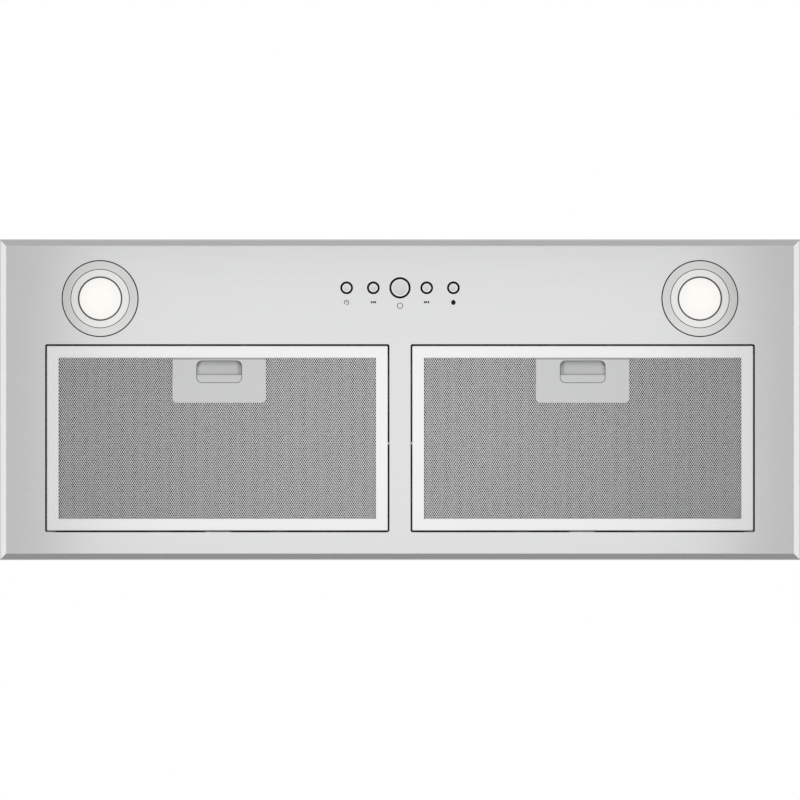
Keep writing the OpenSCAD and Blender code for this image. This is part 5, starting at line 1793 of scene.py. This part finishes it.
@dataclass
class Icons:
    """The printed icons under the buttons, as thin plates on the panel's face.

    Attributes:
        face: The height of the panel's face.
        ink: The thickness of the print.
        line: The width of a thin line.
        timer_y: How far the clock lies behind its button.
        power_y: How far the power icon lies behind its button.
        arrows_y: How far the arrows lie behind their buttons.
        light_y: How far the bulb lies behind its button.
    """

    face: float
    ink: float
    line: float = 0.58 * MM
    timer_y: float = 13.2 * MM
    power_y: float = 16.1 * MM
    arrows_y: float = 12.9 * MM
    light_y: float = 13.1 * MM

    def build(self) -> None:
        """Prints the five icons."""
        timer, slower, power, faster, light = Controls.caps()
        self._print("timer_icon", self._clock(timer.x, timer.y + self.timer_y), ICON_GREY)
        self._print("slower_icon", self._arrows(slower.x, slower.y + self.arrows_y, -1.0),
                    ICON_INK)
        self._print("power_icon", self._power(power.x, power.y + self.power_y), ICON_GREY)
        self._print("faster_icon", self._arrows(faster.x, faster.y + self.arrows_y, 1.0),
                    ICON_INK)
        self._print("light_icon", self._bulb(light.x, light.y + self.light_y), ICON_INK)

    def _print(self, name: str, parts: list[Object], finish: Finish) -> None:
        """Joins an icon's flat parts and gives them the print's thickness.

        Args:
            name: The icon's name.
            parts: Its flat parts.
            finish: Its finish.
        """
        piece = Bench.join(name, parts)
        Bench.modify(piece, "SOLIDIFY", thickness=self.ink, offset=0.0)
        seat(dress(piece, finish), "insert", finish)

    def _flat(self, x: float, y: float, radius: float, sides: int, turn: float = 0.0) -> Object:
        """A flat regular shape on the panel's face.

        Args:
            x: Its middle in X.
            y: Its middle in Y.
            radius: The radius of its corners.
            sides: The number of its corners.
            turn: Its turn in degrees.

        Returns:
            The shape.
        """
        Bench.clear()
        bpy.ops.mesh.primitive_circle_add(vertices=sides, radius=radius, fill_type="NGON",
                                          location=(x, y, self.face - self.ink / 2),
                                          rotation=(math.pi, 0.0, math.radians(turn)))
        return Bench.settle("print")

    def _bar(self, x: float, y: float, width: float, depth: float, turn: float = 0.0) -> Object:
        """A flat bar on the panel's face.

        Args:
            x: Its middle in X.
            y: Its middle in Y.
            width: Its width before the turn.
            depth: Its depth before the turn.
            turn: Its turn about its middle in degrees.

        Returns:
            The bar.
        """
        Bench.clear()
        bpy.ops.mesh.primitive_plane_add(size=1.0, location=(x, y, self.face - self.ink / 2),
                                         rotation=(math.pi, 0.0, math.radians(turn)))
        bpy.context.view_layer.objects.active.scale = (width, depth, 1.0)
        return Bench.settle("print")

    def _ring(self, x: float, y: float, radius: float,
              gap: Callable[[float], bool]) -> Object:
        """A thin ring, open where gap says so of an angle in degrees.

        Args:
            x: Its middle in X.
            y: Its middle in Y.
            radius: Its outer radius.
            gap: Says of an angle, from the right towards the rear, whether it is open.

        Returns:
            The ring.
        """
        piece = self._flat(x, y, radius, 48)
        Bench.edit(piece, Pick.FACE, lambda c, n: True)
        bpy.ops.mesh.inset(thickness=self.line)
        bpy.ops.mesh.delete(type="FACE")
        Bench.edit(piece, Pick.FACE,
                   lambda c, n: gap(math.degrees(math.atan2(c.y - y, c.x - x))))
        bpy.ops.mesh.delete(type="FACE")
        Bench.done()
        return piece

    def _clock(self, x: float, y: float) -> list[Object]:
        """A clock face with two hands, open at the rear left.

        Args:
            x: The icon's middle in X.
            y: Its middle in Y.

        Returns:
            Its flat parts.
        """
        return [self._ring(x, y, 2.35 * MM, lambda a: 100.0 < a < 125.0),
                self._bar(x, y - 0.5 * MM, 0.45 * MM, 1.5 * MM),
                self._bar(x + 0.5 * MM, y + 0.2 * MM, 1.4 * MM, 0.45 * MM, 20.0)]

    def _power(self, x: float, y: float) -> list[Object]:
        """A ring that is open at the front, with a short bar in the gap.

        Args:
            x: The icon's middle in X.
            y: Its middle in Y.

        Returns:
            Its flat parts.
        """
        return [self._ring(x, y, 2.75 * MM, lambda a: -115.0 < a < -65.0),
                self._bar(x, y - 2.35 * MM, 0.6 * MM, 1.9 * MM)]

    def _arrows(self, x: float, y: float, way: float) -> list[Object]:
        """Two arrowheads and an end bar.

        Args:
            x: The icon's middle in X.
            y: Its middle in Y.
            way: Where it points, 1 for the right and -1 for the left.

        Returns:
            Its flat parts.
        """
        heads = [self._flat(x + way * (-1.75 + 1.7 * i) * MM, y, 1.4 * MM, 3, 90.0 * way)
                 for i in range(2)]
        return [*heads, self._bar(x + way * 1.75 * MM, y, 0.9 * MM, 2.3 * MM)]

    def _bulb(self, x: float, y: float) -> list[Object]:
        """A solid bulb with its cap to the rear.

        Args:
            x: The icon's middle in X.
            y: Its middle in Y.

        Returns:
            Its flat parts.
        """
        return [self._flat(x, y + 0.1 * MM, 2.1 * MM, 32),
                self._flat(x, y - 1.6 * MM, 1.25 * MM, 3),
                self._bar(x, y + 1.95 * MM, 1.5 * MM, 0.6 * MM)]


@dataclass
class Lamp:
    """One recessed lamp. Heights are over the panel's face.

    Attributes:
        side: The side that it lies on.
        trim_r: The trim ring's outer radius.
        line_r: The radius of the line in the trim, a groove painted dark as shade, at its middle.
        line: The width of that line.
        bore_r: The radius of the opening in the trim.
        lens_r: The radius of the lens's face.
        proud: How far the trim stands out under the panel's face.
        step: How far the trim's inner part lies behind its outer part.
        rolled: The trim's outer edge, as distances inwards and heights over its face.
        rolled_w: The width of the outer part of that edge, painted dark as shade.
        soft: The rounding of the trim's other edges.
        sleeve_r: The outer radius of the sleeve above the trim.
        sleeve_in: Its inner radius.
        sleeve_z: The height of the sleeve's floor.
        seat_r: The radius of the lens's seat in that floor.
        seat_z: The height of the seat.
        crown: How far the lens bulges.
        flange_r: The radius of the lens's flange.
        flange_z: The height of the flange.
        body_edge: The rounding of the edges of the finned body.
    """

    side: Side
    trim_r: float = 34.6 * MM
    line_r: float = 26.3 * MM
    line: float = 0.55 * MM
    bore_r: float = 20.0 * MM
    lens_r: float = 18.5 * MM
    proud: float = 1.5 * MM
    step: float = 0.3 * MM
    rolled: tuple[Span, ...] = ((1.0 * MM, 0.0), (0.6 * MM, 0.1 * MM), (0.2 * MM, 0.35 * MM),
                                (0.0, 0.7 * MM))
    rolled_w: float = 0.85 * MM
    soft: float = 0.06 * MM
    sleeve_r: float = 28.4 * MM
    sleeve_in: float = 27.4 * MM
    sleeve_z: float = 1.8 * MM
    seat_r: float = 22.5 * MM
    seat_z: float = 0.6 * MM
    crown: float = 0.35 * MM
    flange_r: float = 22.4 * MM
    flange_z: float = 0.7 * MM
    body_edge: float = 0.3 * MM

    def name(self, piece: str) -> str:
        """A piece's name with the side before it."""
        return f"{self.side.word}_{piece}"

    def build(self) -> None:
        """Builds the trim and the lens, and finishes what lies above the panel."""
        low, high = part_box(self.name("lamp_trim"))
        x, y = middle(self.name("lamp_trim"))
        face = low.z + self.proud
        self._trim(x, y, face, high.z)
        self._lens(x, y, face)
        body = Bench.softened(self.name("lamp_body"), self.name("heat_sink"), self.body_edge, 60.0)
        seat(dress(body, CAST_GREY), "insert", CAST_GREY, self.name("lamp_body"))
        finish_nodes(LAMP_BOARD, self.name("lamp_board"))
        finish_nodes(SPRING_STEEL, self.name("lamp_clips"))

    def _trim(self, x: float, y: float, face: float, top: float) -> None:
        """The trim ring with the line in it, its edge and its sleeve.

        Args:
            x: The lamp's middle in X.
            y: The lamp's middle in Y.
            face: The height of the panel's face.
            top: The height of the sleeve's end.
        """
        low = face - self.proud
        half = self.line / 2
        floor, lens_seat = face + self.sleeve_z, face + self.seat_z
        rolled = [(self.trim_r - inward, low + height) for inward, height in self.rolled]
        profile = [(self.bore_r, low + self.step), (self.line_r - half, low + self.step),
                   (self.line_r - half, low + 2 * self.step),
                   (self.line_r + half, low + 2 * self.step), (self.line_r + half, low),
                   *rolled, (self.trim_r, face), (self.sleeve_r, face),
                   (self.sleeve_r, top), (self.sleeve_in, top), (self.sleeve_in, floor),
                   (self.seat_r, floor), (self.seat_r, lens_seat), (self.bore_r, lens_seat)]
        piece = Bench.lathe(self.name("trim"), (x, y, 0.0), profile, 128)
        finish = TurnedSteel(self.name("trim_steel"), "panel_steel", (0.77, 0.77, 0.76), 0.28,
                             centre=(x, y))
        bowl = TurnedSteel(self.name("trim_bowl"), "panel_steel", (0.93, 0.93, 0.915), 0.28,
                           centre=(x, y), sweep=0.02)
        # Painted shade: a near-black copy of the trim steel on the groove line and the outer edge,
        # darker and lighter round the circle.
        rim = TurnedSteel(self.name("trim_rim"), "panel_steel", (0.035, 0.035, 0.035), 0.4,
                          centre=(x, y), sweep=0.2)
        dress(piece, finish, bowl, rim)
        # The groove and the outer edge take the painted shade of slot 2.
        for facet in piece.data.polygons:
            reach = math.hypot(facet.center.x - x, facet.center.y - y)
            if abs(reach - self.line_r) < half + 2 * TOUCH or (
                    reach > self.trim_r - self.rolled_w and facet.center.z < face):
                facet.material_index = 2
            elif self.bore_r < reach < self.line_r:
                facet.material_index = 1
        Bench.round_edges(piece, self.soft, 2, 50.0)
        Bench.smooth(piece, 40.0)
        seat(piece, "insert", finish, self.name("lamp_trim"))

    def _lens(self, x: float, y: float, face: float) -> None:
        """The frosted lens with a crowned face.

        Args:
            x: The lamp's middle in X.
            y: The lamp's middle in Y.
            face: The height of the panel's face.
        """
        edge = face - self.proud + self.step
        flange = face + self.flange_z
        arc = [(self.lens_r * share, edge + self.crown * share * share)
               for share in (0.0, 0.25, 0.5, 0.7, 0.85, 0.95)]
        profile = [*arc, (self.lens_r, edge + 2.2 * self.crown), (self.lens_r, flange),
                   (self.flange_r, flange), (self.flange_r, flange + MM), (0.0, flange + MM)]
        piece = Bench.lathe(self.name("lens"), (x, y, 0.0), profile, 96)
        Bench.smooth(piece, 40.0)
        finish = FrostedLens(self.name("lens_glow"), "lens", (0.48, 0.48, 0.48), 0.5,
                             centre=(x, y))
        seat(dress(piece, finish), "insert", finish, self.name("lamp_lens"))


@dataclass
class Housing:
    """The housing, the blower box and the duct collar over the panel.

    Attributes:
        edge: The rounding of the shells' edges.
    """

    edge: float = 0.45 * MM

    def build(self) -> None:
        """Softens the sheet-metal shells and finishes the small hardware."""
        for node, name in (("housing_shell", "housing"), ("blower_box", "box")):
            piece = Bench.softened(node, name, self.edge)
            seat(dress(piece, HOUSING_ZINC), "insert", HOUSING_ZINC, node)
        finish_nodes(ALUMINIUM, "duct_collar", "left_damper_flap", "right_damper_flap")
        finish_nodes(SCREW_ZINC, "sheet_screws")
        finish_nodes(NUT_BLACK, "panel_nuts")


@dataclass
class Blower:
    """The blower inside the housing, seen past an open filter or damper."""

    def build(self) -> None:
        """Finishes the blower's pieces."""
        finish_nodes(WHEEL_GREY, "blower_wheel")
        finish_nodes(SHAFT_STEEL, "motor_shaft")
        finish_nodes(HOUSING_ZINC, "scroll_side_left", "scroll_side_right", "scroll_band")
        finish_nodes(ALUMINIUM, "inlet_rings")
        finish_nodes(MOTOR_GREY, "motor_body")
        finish_nodes(SCREW_ZINC, "motor_bracket", "capacitor_strap")
        finish_nodes(RUBBER, "motor_grommets")
        finish_nodes(CASE_WHITE, "motor_capacitor")


@dataclass
class Wiring:
    """The wiring box, the lamp driver and the leads."""

    def build(self) -> None:
        """Finishes the wiring."""
        finish_nodes(HOUSING_ZINC, "wiring_box", "wiring_box_cover")
        finish_nodes(CASE_WHITE, "led_driver")
        finish_nodes(LEAD_BLACK, "lamp_leads", "motor_lead", "control_lead")


@dataclass(frozen=True)
class Softbox:
    """A soft rectangular light that the camera doesn't see.

    Attributes:
        name: The light's name.
        place: Its middle.
        turn: Its rotation. Unturned, it shines down.
        width: Its width.
        depth: Its depth.
        radiance: The brightness of its face.
    """

    name: str
    place: tuple[float, float, float]
    turn: tuple[float, float, float]
    width: float
    depth: float
    radiance: float

    def build(self) -> None:
        """Hangs the light in the studio."""
        data = bpy.data.lights.new(self.name, "AREA")
        data.shape = "RECTANGLE"
        data.size, data.size_y = self.width, self.depth
        data.energy = self.radiance * math.pi * self.width * self.depth
        light = bpy.data.objects.new(self.name, data)
        light.location, light.rotation_euler = self.place, self.turn
        light.visible_camera = False
        bpy.context.scene.collection.objects.link(light)


@dataclass
class Studio:
    """Camera, lights, floor and background.

    Attributes:
        lens: The camera's focal length in millimetres.
        sensor: The camera's sensor width in millimetres.
        centre_y: Where the photograph's middle lies on the panel.
        floor_size: The floor's width.
        floor_drop: The floor's depth under the insert.
        floor_grey: The floor's grey.
        fill: The grey of the background as a light.
        backdrop: The grey of the background as the camera sees it.
    """

    lens: float = 300.0
    sensor: float = 36.0
    centre_y: float = 0.27 * MM
    floor_size: float = 60.0
    floor_drop: float = 9.0
    floor_grey: float = 0.8
    fill: float = 0.35
    backdrop: float = 1.0

    def build(self) -> None:
        """Sets up the studio."""
        low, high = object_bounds()
        self._camera(high.x - low.x)
        self._floor()
        self._world()
        for softbox in self.softboxes():
            softbox.build()
        bpy.context.scene.view_settings.view_transform = "Standard"

    @staticmethod
    def softboxes() -> list[Softbox]:
        """The lights: two below the panel, three beside it, one above and four low ones.

        Returns:
            The lights.
        """
        up, side = math.pi, math.pi / 2
        tilt, out, down = 2.3, 1.8, -1.6
        return [Softbox("key_near", (0.0, 0.02, -0.45), (up, 0.0, 0.0), 0.65, 0.38, 0.37),
                Softbox("key_below", (0.0, 0.0, -1.3), (up, 0.0, 0.0), 1.6, 1.6, 0.31),
                Softbox("left_side", (-2.2, 0.0, 0.0), (0.0, -side, 0.0), 1.6, 1.6, 0.7),
                Softbox("right_side", (2.2, 0.0, 0.0), (0.0, side, 0.0), 1.6, 1.6, 0.7),
                Softbox("front_side", (0.0, -2.2, 0.0), (side, 0.0, 0.0), 1.8, 1.4, 0.2),
                Softbox("top", (0.0, 0.0, 2.4), (0.0, 0.0, 0.0), 3.6, 3.6, 0.9),
                Softbox("low_front", (0.0, -out, down), (tilt, 0.0, 0.0), 1.4, 0.8, 0.5),
                Softbox("low_rear", (0.0, out, down), (-tilt, 0.0, 0.0), 1.4, 0.8, 0.5),
                Softbox("low_left", (-out, 0.0, down), (0.0, -tilt, 0.0), 0.8, 1.4, 0.5),
                Softbox("low_right", (out, 0.0, down), (0.0, tilt, 0.0), 0.8, 1.4, 0.5)]

    def _camera(self, width: float) -> None:
        """The camera under the insert, looking straight up with the front at the top.

        Args:
            width: The width that fills the picture.
        """
        data = bpy.data.cameras.new("camera")
        data.lens, data.sensor_width, data.clip_end = self.lens, self.sensor, 100.0
        camera = bpy.data.objects.new("camera", data)
        distance = width / self.sensor * self.lens
        camera.matrix_world = (Matrix.Translation((0.0, self.centre_y, -distance))
                               @ Matrix.Rotation(math.pi, 4, "X"))
        bpy.context.scene.collection.objects.link(camera)
        bpy.context.scene.camera = camera

    def _floor(self) -> None:
        """A plain pale floor far under the insert."""
        Bench.clear()
        bpy.ops.mesh.primitive_plane_add(size=self.floor_size,
                                         location=(0.0, 0.0, -self.floor_drop))
        floor = Bench.settle("floor")
        grey = (self.floor_grey,) * 3
        floor.data.materials.append(
            ShaderTree("floor_pale").surface(Base_Color=grey, Roughness=0.8))
        floor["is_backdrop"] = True

    def _world(self) -> None:
        """A white background that lights the insert softly."""
        world = bpy.data.worlds.new("studio")
        bpy.context.scene.world = world
        world.use_nodes = True
        nodes, links = world.node_tree.nodes, world.node_tree.links
        nodes.clear()
        path = nodes.new("ShaderNodeLightPath")
        mix = nodes.new("ShaderNodeMixShader")
        end = nodes.new("ShaderNodeOutputWorld")
        links.new(path.outputs["Is Camera Ray"], mix.inputs[0])
        for socket, grey in ((1, self.fill), (2, self.backdrop)):
            glow = nodes.new("ShaderNodeBackground")
            glow.inputs["Color"].default_value = (grey, grey, grey, 1.0)
            links.new(glow.outputs[0], mix.inputs[socket])
        links.new(mix.outputs[0], end.inputs["Surface"])


def main() -> None:
    """Builds the scene."""
    logging.basicConfig(level=logging.INFO, format="%(message)s")
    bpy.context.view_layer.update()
    Studio().build()
    Panel().build()
    for side in Side:
        Filter(side).build()
        Lamp(side).build()
    Controls().build()
    Housing().build()
    Blower().build()
    Wiring().build()
    Bench.clear()


if __name__ == "__main__":
    main()
